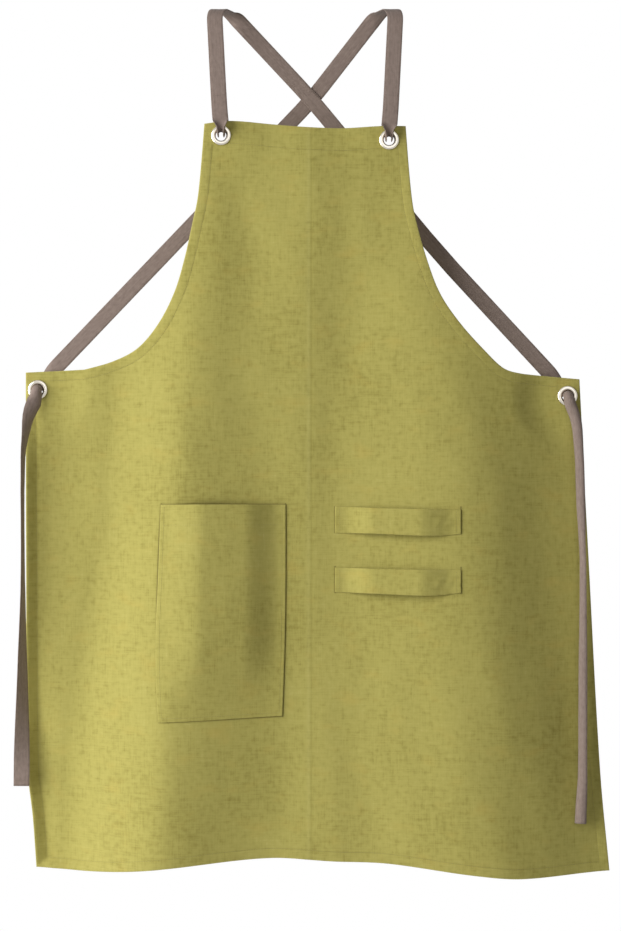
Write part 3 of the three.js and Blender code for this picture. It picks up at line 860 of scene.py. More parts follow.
@dataclass(frozen=True)
class TapeFinish:
    """Twill tape with a fine slanting rib and firm selvedges."""

    name: str = "tape"
    base: Colour = srgb(144, 127, 118)
    deep: Colour = srgb(104, 89, 79)
    pale: Colour = srgb(174, 158, 147)
    rib: float = 1.1
    width: float = 19

    def material(self) -> bpy.types.Material:
        """Makes the material.

        Returns:
            The material.
        """
        made = bpy.data.materials.new(self.name)
        g = Graph(made)
        x, y = g.place("flat")
        rib = ((x + y * 0.9 + g.noise(x / 8, y / 8, 1.0)) * (2 * math.pi / self.rib)).sin()
        yarn = (x * (2 * math.pi / 0.62)).sin()
        mottle = g.noise(x / 3, y / 7, 2.0, 4.0)
        streak = g.noise(x / 1.1, y / 60, 3.0, 2.0)
        selvedge = (abs(x) - (self.width / 2 - 1.1)).ridge(0.5)
        tone = 0.5 + rib * 0.11 + yarn * 0.06 + (mottle - 0.5) * 0.7 + (streak - 0.5) * 0.5 - selvedge * 0.22
        low = g.colour(tone.between(0.0, 0.52), self.deep, self.base)
        high = g.colour(tone.between(0.48, 1.05), low, self.pale)
        relief = rib * 0.09 + yarn * 0.05 + mottle * 0.1 - selvedge * 0.16
        rough = 0.84 + (mottle - 0.5) * 0.15
        sheen = {"Sheen Weight": 0.15, "Sheen Roughness": 0.5, "Specular IOR Level": 0.25}
        g.surface(relief, 0.6, {"Base Color": high, "Roughness": rough} | sheen)
        return made


@dataclass(frozen=True)
class ThreadFinish:
    """Twisted sewing thread."""

    name: str
    base: Colour
    deep: Colour

    def material(self) -> bpy.types.Material:
        """Makes the material.

        Returns:
            The material.
        """
        made = bpy.data.materials.new(self.name)
        g = Graph(made)
        x, y = g.place("flat")
        twist = ((x * 0.8 + y) * (2 * math.pi / 0.45)).sin()
        fuzz = g.noise(x * 3, y * 3, 1.0)
        tone = 0.5 + twist * 0.3 + (fuzz - 0.5) * 0.5
        shade = g.colour(tone, self.deep, self.base)
        rough = 0.6 + fuzz * 0.2
        g.surface(twist * 0.05, 0.5, {"Base Color": shade, "Roughness": rough, "Sheen Weight": 0.2})
        return made


@dataclass(frozen=True)
class NickelFinish:
    """Bright nickel, a little warm, with fine scuffs."""

    name: str = "nickel"
    base: Colour = srgb(226, 219, 206)
    dull: Colour = srgb(176, 166, 150)

    def material(self) -> bpy.types.Material:
        """Makes the material.

        Returns:
            The material.
        """
        made = bpy.data.materials.new(self.name)
        g = Graph(made)
        x, y = g.place("flat")
        cloud = g.noise(x / 4, y / 4, 1.0, 3.0)
        scuff = g.noise(x * 1.6, y / 6, 2.0, 4.0)
        marks = scuff.between(0.55, 0.75)
        shade = g.colour(marks * 0.5 + (cloud - 0.5) * 0.6, self.base, self.dull)
        rough = 0.16 + marks * 0.2 + cloud * 0.08
        g.surface(scuff * 0.02, 0.3, {"Base Color": shade, "Roughness": rough, "Metallic": 1.0})
        return made


@dataclass(frozen=True)
class PaintFinish:
    """A plain matt floor."""

    name: str = "floor"
    base: Colour = (0.8, 0.8, 0.79, 1.0)

    def material(self) -> bpy.types.Material:
        """Makes the material.

        Returns:
            The material.
        """
        made = bpy.data.materials.new(self.name)
        g = Graph(made)
        g.surface(None, 0.0, {"Base Color": self.base, "Roughness": 0.8})
        return made


@dataclass
class Skin:
    """A mesh being made: its points in millimetres, its faces and what each point carries."""

    points: Array
    faces: list[Sequence[int]]
    flat: Array
    edge: Optional[Array] = None
    # How strongly painted shade darkens each point
    crevice: Union[float, Array] = 0
    hem: Union[float, Array] = FAR

    def joined(self, others: Iterable["Skin"]) -> "Skin":
        """This skin and others as one.

        Args:
            others: the rest.

        Returns:
            The joined skin.
        """
        skins = [self, *others]
        starts = np.cumsum([0, *(len(s.points) for s in skins[:-1])])
        faces = [[int(k + start) for k in f] for s, start in zip(skins, starts) for f in s.faces]
        edges = [s.edge if s.edge is not None else np.full(len(s.points), FAR) for s in skins]
        return Skin(
            np.concatenate([s.points for s in skins]),
            faces,
            np.concatenate([s.flat for s in skins]),
            np.concatenate(edges),
        )

    def build(self, name: str, material: bpy.types.Material, hang_depth: float) -> bpy.types.Object:
        """Makes the object.

        Args:
            name: its name.
            material: its material.
            hang_depth: how far the frame's origin lies behind the bib, in millimetres.

        Returns:
            The object, in the part's frame.
        """
        mesh = bpy.data.meshes.new(name)
        placed = (self.points - np.array([0, hang_depth, 0])) * MM
        mesh.from_pydata(placed.tolist(), [], [tuple(int(k) for k in f) for f in self.faces])
        corners = np.empty(len(mesh.loops), int)
        mesh.loops.foreach_get("vertex_index", corners)
        layer = mesh.uv_layers.new(name="flat")
        layer.data.foreach_set("uv", (self.flat[corners] * MM).ravel())
        edge = self.edge if self.edge is not None else np.full(len(self.points), FAR)
        mesh.attributes.new("edge", "FLOAT", "POINT").data.foreach_set("value", edge)
        for label, given in (("crevice", self.crevice), ("hem", self.hem)):
            values = np.broadcast_to(np.asarray(given, float), len(self.points)).copy()
            mesh.attributes.new(label, "FLOAT", "POINT").data.foreach_set("value", values)
        mesh.materials.append(material)
        mesh.shade_smooth()
        mesh.update()
        made = bpy.data.objects.new(name, mesh)
        bpy.context.collection.objects.link(made)
        return made


def sheet_skin(
    points: Array,
    normals: Array,
    faces: list,
    rims: list,
    half: tuple[Array, Array],
    flat: Array,
    edge: Array,
) -> Skin:
    """A sheet with two faces and a rim.

    Args:
        points: the middle's points.
        normals: unit normals towards the front.
        faces: faces over those points, anticlockwise seen from the front.
        rims: pairs of neighbours along the sheet's border, in the faces' order.
        half: how far the front and the back lie from the middle.
        flat: flat coordinates of each point.
        edge: how far each point is from the border.

    Returns:
        The closed skin.
    """
    count = len(points)
    ahead = points + normals * half[0][:, None]
    behind = points - normals * half[1][:, None]
    back_faces = [[count + k for k in reversed(f)] for f in faces]
    rim_faces = [[b, a, a + count, b + count] for a, b in rims]
    return Skin(
        np.concatenate([ahead, behind]),
        [*faces, *back_faces, *rim_faces],
        np.concatenate([flat, flat]),
        np.concatenate([edge, edge]),
    )


def lattice_faces(rows: int, columns: int) -> tuple[list, list]:
    """Faces and border of a lattice whose rows go down and whose columns go to the right.

    Args:
        rows: how many rows of points there are.
        columns: how many columns.

    Returns:
        The faces, anticlockwise seen from the front, and the border's pairs.
    """
    index = np.arange(rows * columns).reshape(rows, columns)
    quads = np.stack([index[:-1, :-1], index[1:, :-1], index[1:, 1:], index[:-1, 1:]], -1)
    left, foot, right, top = index[:, 0], index[-1], index[::-1, -1], index[0, ::-1]
    loop = np.concatenate([left[:-1], foot[:-1], right[:-1], top[:-1]]).tolist()
    return quads.reshape(-1, 4).tolist(), list(zip(loop, loop[1:] + loop[:1]))


def tube_faces(rings: int, count: int, closed: bool) -> list[list[int]]:
    """Faces between neighbouring rings of points.

    Args:
        rings: how many rings there are.
        count: how many points each has.
        closed: whether the last ring meets the first.

    Returns:
        The faces, each with two points of a ring and two of the next.
    """
    faces = []
    for ring in range(rings if closed else rings - 1):
        here, there = ring * count, (ring + 1) % rings * count
        for i in range(count):
            after = (i + 1) % count
            faces.append([here + i, here + after, there + after, there + i])
    return faces


@dataclass(frozen=True)
class StitchSizes:
    """One straight stitch and the spacing of a row of them, in millimetres."""

    pitch: float = 3.0
    length: float = 2.3
    radius: float = 0.26
    sides: int = 6

    def row(self, line: Array, normals: Array) -> Skin:
        """Stitches along a line.

        Args:
            line: points along the line, on the surface.
            normals: the surface's normals there.

        Returns:
            The stitches.
        """
        along = np.concatenate([[0], np.cumsum(np.linalg.norm(np.diff(line, axis=0), axis=1))])
        count = max(1, round(along[-1] / self.pitch))
        middles = (np.arange(count) + 0.5) * along[-1] / count

        def reads(places: Array, what: Array) -> Array:
            """What the line carries at lengths along it."""
            return np.stack([np.interp(places, along, what[:, k]) for k in range(3)], -1)

        centre, up = reads(middles, line), reads(middles, normals)
        ahead = reads(middles + 0.4, line) - reads(middles - 0.4, line)
        ahead /= np.linalg.norm(ahead, axis=1, keepdims=True)
        up -= (up * ahead).sum(1, keepdims=True) * ahead
        up /= np.linalg.norm(up, axis=1, keepdims=True)
        aside = np.cross(up, ahead)
        shares = np.array([-1, -0.8, -0.4, 0, 0.4, 0.8, 1])
        thick = self.radius * np.array([0.35, 0.8, 1, 1, 1, 0.8, 0.35])
        lift = self.radius * np.array([-1.1, -0.3, 0.5, 0.7, 0.5, -0.3, -1.1])
        angles = np.arange(self.sides) * 2 * math.pi / self.sides
        points, flats, faces = [], [], []
        rings = len(shares)
        for share, size, high in zip(shares, thick, lift):
            middle = centre + ahead * (share * self.length / 2) + up * high
            for angle in angles:
                points.append(middle + aside * (size * math.cos(angle)) + up * (size * math.sin(angle)))
                flats.append(np.stack([middles + share * self.length / 2, np.full(count, angle)], -1))
        per = rings * self.sides
        for j in range(rings - 1):
            for i in range(self.sides):
                a, b = j * self.sides + i, j * self.sides + (i + 1) % self.sides
                faces.append([a, a + self.sides, b + self.sides, b])
        faces.append(list(range(self.sides)))
        faces.append([per - 1 - i for i in range(self.sides)])
        every = [[k + n * per for k in f] for n in range(count) for f in faces]
        return Skin(np.stack(points, 1).reshape(-1, 3), every, np.stack(flats, 1).reshape(-1, 2))


OLIVE_THREAD = ThreadFinish("olive_thread", srgb(180, 171, 92), srgb(136, 126, 62))
TAUPE_THREAD = ThreadFinish("taupe_thread", srgb(140, 124, 112), srgb(88, 76, 66))


@dataclass
class Materials:
    """The finishes' materials, made once."""

    linen: bpy.types.Material = field(default_factory=LinenFinish().material)
    tape: bpy.types.Material = field(default_factory=TapeFinish().material)
    nickel: bpy.types.Material = field(default_factory=NickelFinish().material)
    olive_thread: bpy.types.Material = field(default_factory=OLIVE_THREAD.material)
    taupe_thread: bpy.types.Material = field(default_factory=TAUPE_THREAD.material)


class Part:
    """What every sub-assembly shares: the cloth's form, the materials and the way it is put in the frame."""

    def __init__(self, form: ClothForm, materials: Materials) -> None:
        """Keeps what the part is made with.

        Args:
            form: the main cloth's form.
            materials: the finishes' materials.
        """
        self.form = form
        self.materials = materials
        self.stitches = StitchSizes()

    def put(self, skin: Skin, name: str, material: bpy.types.Material, slot: str) -> bpy.types.Object:
        """Builds a skin and lets it ride on the part.

        Args:
            skin: what is built.
            name: the object's name.
            material: its material.
            slot: not used.

        Returns:
            The object.
        """
        made = skin.build(name, material, self.form.sizes.hang_depth)
        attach(made, "root")
        log.info("%s: %d faces", name, len(skin.faces))
        return made


class ClothPanel(Part):
    """The bib and skirt, with turned and stitched hems."""

    cell = 4.4
    outline_step = 4.2
    insets = (0.35, 1.1, 3.5, 7.0, 10.2, 11.5, 12.8, 15.0)
    border = 16.5
    width_samples = 600
    above_hem = 12
    half_cloth = 0.42
    turned_back = 0.75
    turned_front = 0.3
    seam_sinks = 0.3
    stitch_lift = 0.2
    seam_clear = 12.6
    seam_step = 1.5
    seam_break = 4
    least_points = 4

    def build(self) -> bpy.types.Object:
        """Makes the cloth and its stitches.

        Returns:
            The cloth.
        """
        flat, faces, rims, edge = self._triangulated()
        points, normals = self._draped(flat, edge)
        hem = distance_to(self.form.hem_guide(self.outline_step), flat)
        skin = sheet_skin(points, normals, faces, rims, self._halves(edge, hem), flat, edge)
        skin.hem = np.concatenate([hem, hem])
        # The painted shade along the patches' borders goes on the front face only
        skin.crevice = np.repeat([1.0, 0.0], len(flat))
        cloth = self.put(skin, "cloth", self.materials.linen, "linen")
        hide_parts("apron_cloth")
        seams = self.put(self._seams(), "cloth_stitches", self.materials.olive_thread, "linen")
        width, area = self._flat_width() * MM, area_of(points, faces) * MM * MM
        log.info("cloth is %.4f m wide at its hem and has %.4f m2", width, area)
        return cloth

    def _flat_width(self) -> float:
        """The cloth's width along its folds, just above the hem."""
        sizes = self.form.sizes
        half = sizes.half_wing
        reach = [side.value * own.flare.column("reach")[-1] * half for side, own in sizes.sides.items()]
        x = np.linspace(reach[0], reach[1], self.width_samples)
        z = np.full(self.width_samples, sizes.hem + self.above_hem)
        return length_of(self.form.surface(x, z)[0])

    def _halves(self, edge: Array, hem: Array) -> tuple[Array, Array]:
        """Half thickness at the front and the back, more in the hem and rounded at its fold."""
        turned = 1 - smooth((hem - 11) / 2.2)
        seam = bump(hem - self.form.sizes.hem_width, 1.2)
        fold = np.sqrt(np.clip(1 - (1 - np.clip(edge / 1.1, 0, 1)) ** 2, 0.06, 1))
        front = (self.half_cloth + self.turned_front * turned - self.seam_sinks * seam) * fold
        back = (self.half_cloth + self.turned_back * turned - self.seam_sinks * seam) * fold
        return front, back

    def _draped(self, flat: Array, edge: Array) -> tuple[Array, Array]:
        """The cloth's uneven middle and its normals, at places and their distances from the edge."""
        points, normals = self.form.surface(flat[:, 0], flat[:, 1])
        slack = self.form.slack(flat[:, 0], flat[:, 1]) * smooth(edge / 14)
        return points + normals * (slack + self._pucker(flat, edge))[:, None], normals

    def _pucker(self, flat: Array, edge: Array) -> Array:
        """The ripple that stitching leaves along the hems."""
        made = np.empty(len(flat))
        for i, (x, z) in enumerate(flat):
            made[i] = noise.noise((x / 5.5, z / 5.5, 21.0)) + 0.6 * noise.noise((x / 13, z / 13, 23.0))
        return made * 0.42 * bump(edge - 9, 7)

    def _triangulated(self) -> tuple[Array, list, list, Array]:
        """A lattice inside, and triangles between it and the outline and eyelets."""
        outline = self.form.outline(self.outline_step)
        holes = [self._hole(e) for e in self.form.eyelets.values()]
        centres = np.array([[e.x, e.z] for e in self.form.eyelets.values()])
        low, high = outline.min(0), outline.max(0)
        counts = np.ceil((high - low) / self.cell).astype(int) + 1
        xs, zs = low[0] + np.arange(counts[0]) * self.cell, low[1] + np.arange(counts[1]) * self.cell
        nodes = np.stack(np.meshgrid(xs, zs, indexing="ij"), -1).reshape(-1, 2)
        away = distance_to(outline, nodes)
        for centre in centres:
            near = np.linalg.norm(nodes - centre, axis=1) - 14
            away = np.where(near < 0, -1, away)
        kept = (away > self.border).reshape(counts)
        cells = kept[:-1, :-1] & kept[1:, :-1] & kept[1:, 1:] & kept[:-1, 1:]
        used = np.zeros(counts, bool)
        inner = np.zeros(counts, int)
        for i, j in ((0, 0), (1, 0), (1, 1), (0, 1)):
            used[i : counts[0] - 1 + i, j : counts[1] - 1 + j] |= cells
            inner[i : counts[0] - 1 + i, j : counts[1] - 1 + j] += cells
        index = np.full(counts, -1)
        index[used] = np.arange(used.sum())
        lattice = nodes[used.reshape(-1)]
        faces = [
            [int(index[i, j]), int(index[i + 1, j]), int(index[i + 1, j + 1]), int(index[i, j + 1])]
            for i, j in np.argwhere(cells)
        ]
        rim_of_lattice = np.argwhere(used & (inner < 4))
        loops = [inset(outline, d) for d in self.insets]
        rings = [self._ring(c, r) for c in centres for r in (8.2, 10.0, 12.0, 14.5)]
        loops = [loop[self._clear(loop, centres, 16)] for loop in loops]
        rings = [ring[distance_to(outline, ring) > 2] for ring in rings]
        border = nodes.reshape(*counts, 2)[rim_of_lattice[:, 0], rim_of_lattice[:, 1]]
        extra = np.concatenate([outline, *holes, *loops, *rings])
        extra_ids = len(lattice) + np.arange(len(extra))
        border_ids = index[rim_of_lattice[:, 0], rim_of_lattice[:, 1]]
        places, ids = np.concatenate([extra, border]), np.concatenate([extra_ids, border_ids])
        chains, start = [], 0
        for loop in (outline, *holes):
            chain = start + np.arange(len(loop))
            chains.append(list(zip(chain.tolist(), np.roll(chain, -1).tolist())))
            start += len(loop)
        slot_of = {(int(i), int(j)): len(extra) + n for n, (i, j) in enumerate(rim_of_lattice)}
        steps = self._lattice_border(cells, slot_of)
        vectors = [Vector(p) for p in places.tolist()]
        found = delaunay_2d_cdt(vectors, sum(chains, []) + steps, [], 0, 1e-4)
        origin = [own[0] if own else -1 for own in found[3]]
        triangles = np.array([[origin[k] for k in tri] for tri in found[2]])
        triangles = triangles[triangles.min(1) >= 0]
        a, b, c = places[triangles].transpose(1, 0, 2)
        middles = (a + b + c) / 3
        dropped = self._in_lattice(middles, low, cells) | self._outside(middles, outline, centres)
        turn = (b - a)[:, 0] * (c - a)[:, 1] - (b - a)[:, 1] * (c - a)[:, 0]
        triangles = np.where(turn[:, None] > 0, triangles, triangles[:, ::-1])
        faces += ids[triangles[~dropped]].tolist()
        flat = np.concatenate([lattice, extra])
        edge = np.maximum(distance_to(outline, flat), 0)
        rims = self._borders(faces)
        return flat, faces, rims, edge

    def _hole(self, eyelet: Vector) -> Array:
        """The cut edge of the cloth round an eyelet's barrel."""
        return self._ring(np.array([eyelet.x, eyelet.z]), self.form.eyelet.barrel + 0.3)

    def _ring(self, centre: Array, radius: float) -> Array:
        """Points round a circle."""
        angles = np.arange(32) * 2 * math.pi / 32
        return centre + radius * np.stack([np.cos(angles), np.sin(angles)], -1)

    def _clear(self, points: Array, centres: Array, radius: float) -> Array:
        """Which points lie clear of the eyelets."""
        return np.all([np.linalg.norm(points - c, axis=1) > radius for c in centres], axis=0)

    def _lattice_border(self, cells: Array, slot_of: dict) -> list[tuple[int, int]]:
        """The lattice's border as pairs of places."""
        padded = np.pad(cells, 1)
        pairs = []
        for i, j in np.argwhere(cells):
            walls = (
                (padded[i, j + 1], (i, j), (i, j + 1)),
                (padded[i + 2, j + 1], (i + 1, j), (i + 1, j + 1)),
                (padded[i + 1, j], (i, j), (i + 1, j)),
                (padded[i + 1, j + 2], (i, j + 1), (i + 1, j + 1)),
            )
            for full, a, b in walls:
                if not full:
                    pairs.append((slot_of[tuple(map(int, a))], slot_of[tuple(map(int, b))]))
        return pairs

    def _in_lattice(self, middles: Array, low: Array, cells: Array) -> Array:
        """Which places lie in one of the lattice's cells."""
        i, j = np.floor((middles - low) / self.cell).astype(int).T
        on = (i >= 0) & (j >= 0) & (i < cells.shape[0]) & (j < cells.shape[1])
        return on & cells[np.clip(i, 0, cells.shape[0] - 1), np.clip(j, 0, cells.shape[1] - 1)]

    def _outside(self, middles: Array, outline: Array, centres: Array) -> Array:
        """Which places lie off the cloth or in an eyelet's hole."""
        in_hole = ~self._clear(middles, centres, self.form.eyelet.barrel + 0.25)
        return in_hole | (distance_to(outline, middles) < 0)

    def _borders(self, faces: list) -> list[tuple[int, int]]:
        """Sides of faces that no other face shares, in the faces' order."""
        sides = {(a, b) for f in faces for a, b in zip(f, f[1:] + f[:1])}
        return [(a, b) for a, b in sides if (b, a) not in sides]

    def _seams(self) -> Skin:
        """The stitches round the hems, on both faces."""
        centres = np.array([[e.x, e.z] for e in self.form.eyelets.values()])
        loop = inset(self.form.hem_guide(self.seam_step), self.form.sizes.hem_width)
        clear = self._clear(loop, centres, self.seam_clear)
        gap = np.linalg.norm(np.roll(loop, -1, 0) - loop, axis=1) > self.seam_break
        stops = np.nonzero(~clear | gap)[0]
        spans = zip(stops, np.append(stops[1:], len(loop)))
        lines = [loop[a + 1 : b] for a, b in spans if b - a > self.least_points]
        first = loop[: stops[0]] if len(stops) else loop
        lines = [line for line in [first, *lines] if len(line) > self.least_points]
        rows, outline = [], self.form.outline(self.outline_step)
        for line in lines:
            points, normals = self._draped(line, distance_to(outline, line))
            rows.append(self.stitches.row(points + normals * self.half_cloth, normals))
            behind = points - normals * (self.half_cloth + self.stitch_lift)
            rows.append(self.stitches.row(behind, -normals))
        return rows[0].joined(rows[1:])


@dataclass(frozen=True)
class PatchSizes:
    """A flat patch sewn on the cloth, in millimetres, with its edges as shares of its width."""

    name: str
    left: float
    width: float
    top: float
    height: float
    bulge: float
    seam: float
    edges: Table
    mouth: bool
    slant: float = 0
    ease: float = 0.28
    thickness: float = 1.0
    clearance: float = 0.3

    def bow(self, share: "Value", name: str) -> "Number":
        """How far a side bows at a share of the way down, as a parabola through its end and middle rows."""
        if not self.mouth:
            return 0.0
        start, middle, end = (float(self.edges.at(name, level)) for level in (0, 0.5, 1))
        slope, curve = 4 * middle - 3 * start - end, 2 * start + 2 * end - 4 * middle
        return start + share * slope + share * share * curve


class Patch(Part):
    """The pocket, or a loop: a patch that stands off the cloth between its seams."""

    step = 2.4
    mouth_hem = 24
    unworn = 30
    seam_samples = 120
    weave_shift = (211, 57)

    def __init__(self, form: ClothForm, materials: Materials, sizes: PatchSizes) -> None:
        """Keeps the patch's sizes as well.

        Args:
            form: the main cloth's form.
            materials: the finishes' materials.
            sizes: the patch's sizes.
        """
        super().__init__(form, materials)
        self.sizes = sizes

    def place(self, u: Array, v: Array) -> tuple[Array, Array]:
        """Where a share across and a share down lie, in x and z."""
        own = self.sizes
        if own.mouth:
            left = own.left + own.edges.at("left", v) * own.width
            right = own.left + own.width + own.edges.at("right", v) * own.width
            foot = own.top - own.height - own.slant * (1 - u)
            return left + (right - left) * u, own.top + (foot - own.top) * v
        high = own.top - own.edges.at("top", u) * own.width
        low = own.top - own.height - own.edges.at("foot", u) * own.width
        return own.left + own.width * u, high + (low - high) * v

    def gap(self, u: Array, v: Array) -> Array:
        """How far the patch's back stands off the cloth."""
        own = self.sizes
        inset_across = np.minimum(u, 1 - u) * own.width - own.seam
        if own.mouth:
            up = ((1 - v) * own.height - own.seam) / (0.4 * own.height)
            return own.clearance + own.bulge * smooth(inset_across / (own.ease * own.width)) * smooth(up)
        return own.clearance + own.bulge * smooth(inset_across / (own.ease * own.width)) + 0 * v

    def surface(self, u: Array, v: Array, lift: Array) -> tuple[Array, Array]:
        """Points of the patch, lifted off its back by a distance, and their normals."""
        x, z = self.place(u, v)
        base, normal = self.form.surface(x, z)
        half = self.form.sizes.thickness / 2
        return base + normal * (half + self.gap(u, v) + lift)[:, None], normal

    def build(self) -> bpy.types.Object:
        """Makes the patch and its stitches.

        Returns:
            The patch.
        """
        own = self.sizes
        columns = self._shares(own.width)
        rows = self._shares(own.height)
        v, u = (a.ravel() for a in np.meshgrid(rows, columns, indexing="ij"))
        edge = np.minimum(np.minimum(u, 1 - u) * own.width, np.minimum(v, 1 - v) * own.height)
        middle = self._creases(u, v) * smooth((edge - 3) / 12)
        points, normals = self.surface(u, v, own.thickness / 2 + middle)
        x, z = self.place(u, v)
        faces, rims = lattice_faces(len(rows), len(columns))
        fold = np.sqrt(np.clip(1 - (1 - np.clip(edge / 0.9, 0, 1)) ** 2, 0.06, 1))
        hemmed = (1 - smooth((v * own.height - self.mouth_hem) / 2)) if own.mouth else np.zeros_like(v)
        turned = np.maximum(1 - smooth((edge - own.seam) / 2), hemmed)
        seam = bump(edge - self._seam_at(), 0.9)
        half = (0.38 + 0.14 * turned - 0.16 * seam) * fold
        # Each patch is cut elsewhere in the linen, so its weave doesn't run on from the cloth's
        flat = np.stack([x + self.weave_shift[0] + own.top, z + self.weave_shift[1]], -1)
        # A patch's folded border isn't paled along its edge like the cloth's, so the finish is told that it
        # lies well inside
        skin = sheet_skin(points, normals, faces, rims, (half, half), flat, edge + self.unworn)
        made = self.put(skin, own.name + "_cloth", self.materials.linen, "linen")
        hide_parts(own.name)
        seams = self.put(self._seams(), own.name + "_stitches", self.materials.olive_thread, "linen")
        return made

    def _seam_at(self) -> float:
        """How far the stitches lie from the patch's edge."""
        return 4.5 if self.sizes.mouth else 5.5

    def _shares(self, length: float) -> Array:
        """Shares of a length at the patch's step, closer together at both ends."""
        ends = np.array([0, 0.3, 1.0, 2.4])
        inner = np.linspace(4.2, length - 4.2, round((length - 8.4) / self.step) + 1)
        return np.concatenate([ends, inner, length - ends[::-1]]) / length

    def _creases(self, u: Array, v: Array) -> Array:
        """The patch's own small unevenness, with a few slanting creases at a loop's end."""
        own = self.sizes
        x, z = self.place(u, v)
        made = np.array([noise.noise((a / 26, b / 40, 31.0)) for a, b in zip(x, z)]) * 0.6
        made += np.array([noise.noise((a / 9, b / 13, 33.0)) for a, b in zip(x, z)]) * 0.18
        if not own.mouth:
            slant = (u - 0.83) * own.width + (v - 0.5) * own.height * 0.55
            made += 0.7 * bump(slant, 3.2) + 0.45 * bump(slant - 13, 3)
        return np.maximum(made, 0) + 0.1

    def _seams(self) -> Skin:
        """Stitches along the sewn sides, and across the pocket's mouth hem."""
        own, d = self.sizes, self._seam_at()
        side, far = d / own.width, 1 - d / own.width
        foot = 1 - d / own.height
        if own.mouth:
            mouth = self.mouth_hem / own.height
            lines = [[(side, 0.01), (side, foot), (far, foot), (far, 0.01)], [(side, mouth), (far, mouth)]]
        else:
            lines = [[(side, 0.06), (side, 0.94)], [(far, 0.06), (far, 0.94)]]
        rows = []
        for line in lines:
            for a, b in zip(line, line[1:]):
                share = np.linspace(0, 1, self.seam_samples)
                u, v = (a[k] + (b[k] - a[k]) * share for k in (0, 1))
                points, normals = self.surface(u, v, np.full(self.seam_samples, own.thickness - 0.12))
                rows.append(self.stitches.row(points, normals))
        return rows[0].joined(rows[1:])


class Eyelet(Part):
    """One grommet and its washer, turned about an axis towards the back."""

    sides = 72

    def build(self, where: str) -> list[bpy.types.Object]:
        """Makes the grommet and the washer.

        Args:
            where: the eyelet's place, such as bib_left.

        Returns:
            The two objects.
        """
        own = self.form.eyelet
        hole, flange, barrel = own.hole / 2, own.flange / 2, own.barrel
        seat = self.form.sizes.thickness / 2 + own.clearance
        front = -(seat + own.dome)
        clinch = seat + own.washer + own.clearance
        lip = barrel + own.clinch_lip
        crown = [
            (hole + (flange - hole) * (0.5 - 0.5 * math.cos(a)), -seat - own.dome * math.sin(a) ** 0.8)
            for a in np.linspace(0.12, math.pi - 0.02, 22)
        ]
        grommet = [
            (hole, clinch + own.wall - 0.2), (hole, -seat - 0.2), *crown, (flange - 0.05, -seat + 0.05),
            (flange - own.bevel, -seat), (barrel, -seat), (barrel, clinch), (lip, clinch),
            (lip, clinch + 0.3), (lip - 0.5, clinch + 0.55), (barrel + 0.3, clinch + own.wall),
        ]
        inner, outer = barrel + own.clearance, flange - own.washer_inset
        washer = [
            (inner, seat + own.washer), (inner, seat), (outer - 0.2, seat), (outer, seat + 0.15),
            (outer, seat + 0.4), (outer - 0.4, seat + 0.75), (outer - own.bevel, seat + own.washer),
        ]
        made = []
        for kind, profile in (("eyelet", grommet), ("washer", washer)):
            name = f"{kind}_{where}"
            piece = self.put(self._turned(profile, where), name + "_metal", self.materials.nickel, "nickel")
            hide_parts(name)
            made.append(piece)
        return made

    def _turned(self, profile: list[tuple[float, float]], where: str) -> Skin:
        """A closed profile of radius and depth, turned about the eyelet's axis."""
        centre = np.array(self.form.eyelets[where])
        ring = np.array(profile)
        angles = np.arange(self.sides) * 2 * math.pi / self.sides
        radius, depth = ring[:, 0], ring[:, 1]
        points = np.stack(
            [
                np.outer(np.cos(angles), radius),
                np.outer(np.ones(self.sides), depth),
                np.outer(np.sin(angles), radius),
            ],
            -1,
        )
        faces = tube_faces(self.sides, len(ring), True)
        flat = np.stack([np.outer(angles, radius).ravel(), np.tile(radius + depth, self.sides)], -1)
        return Skin(points.reshape(-1, 3) + centre, faces, flat)


@dataclass(frozen=True)
class Corner:
    """A corner of a strap's route: where it is, how broadly it is rounded, and the step up to it."""

    at: Vector
    bend: float = 0
    step: float = 3


@dataclass(frozen=True)
class StrapSizes:
    """Sizes of one strap, in millimetres, degrees and shares."""

    side: Side
    layer: int
    bow: float
    tie_length: float
    tie: Table
    width: float = 19
    thickness: float = 1.5
    curl_kept: float = 0.3
    curl_lost: float = 1
    rise: float = 138
    shoulder_span: float = 219
    back_span: float = 177
    shoulder_depth: float = 48
    shoulder_front: float = 10
    shoulder_bend: float = 19
    cross_drop: float = 102
    cross_offset: float = 8
    cross_depth: float = 62
    sewn_length: float = 20
    sewn_rise: float = 14
    uncurl: float = 38
    bib_roll: float = 4.7
    bib_unroll: float = 17
    held_curl: float = 6
    eyelet_turn: float = 4.5
    turn_rise: float = 3
    tie_stand_off: float = 1.6
    bow_place: float = 0.53
    end_hem: float = 7
    end_hem_plies: float = 1.35
    pressed: float = 0.86
    ripple: float = 0.18


# How each corner of a strap's route is rounded, and how far apart the stations are on the way to it
BENDS = {
    "sewn_foot": (40, 2.5),
    "above_back": (12, 1.5),
    "above_front": (12, 1),
    "leg_foot": (40, 1.5),
    "leg_top": (60, 2.5),
    "cross": (260, 5),
    "bowed": (900, 6),
    "curls_from": (40, 5),
    "tie_top": (30, 1),
    "tie_row": (90, 3.5),
}


@dataclass
class Station:
    """A place on a strap's route."""

    point: Vector
    direction: Vector
    along: float


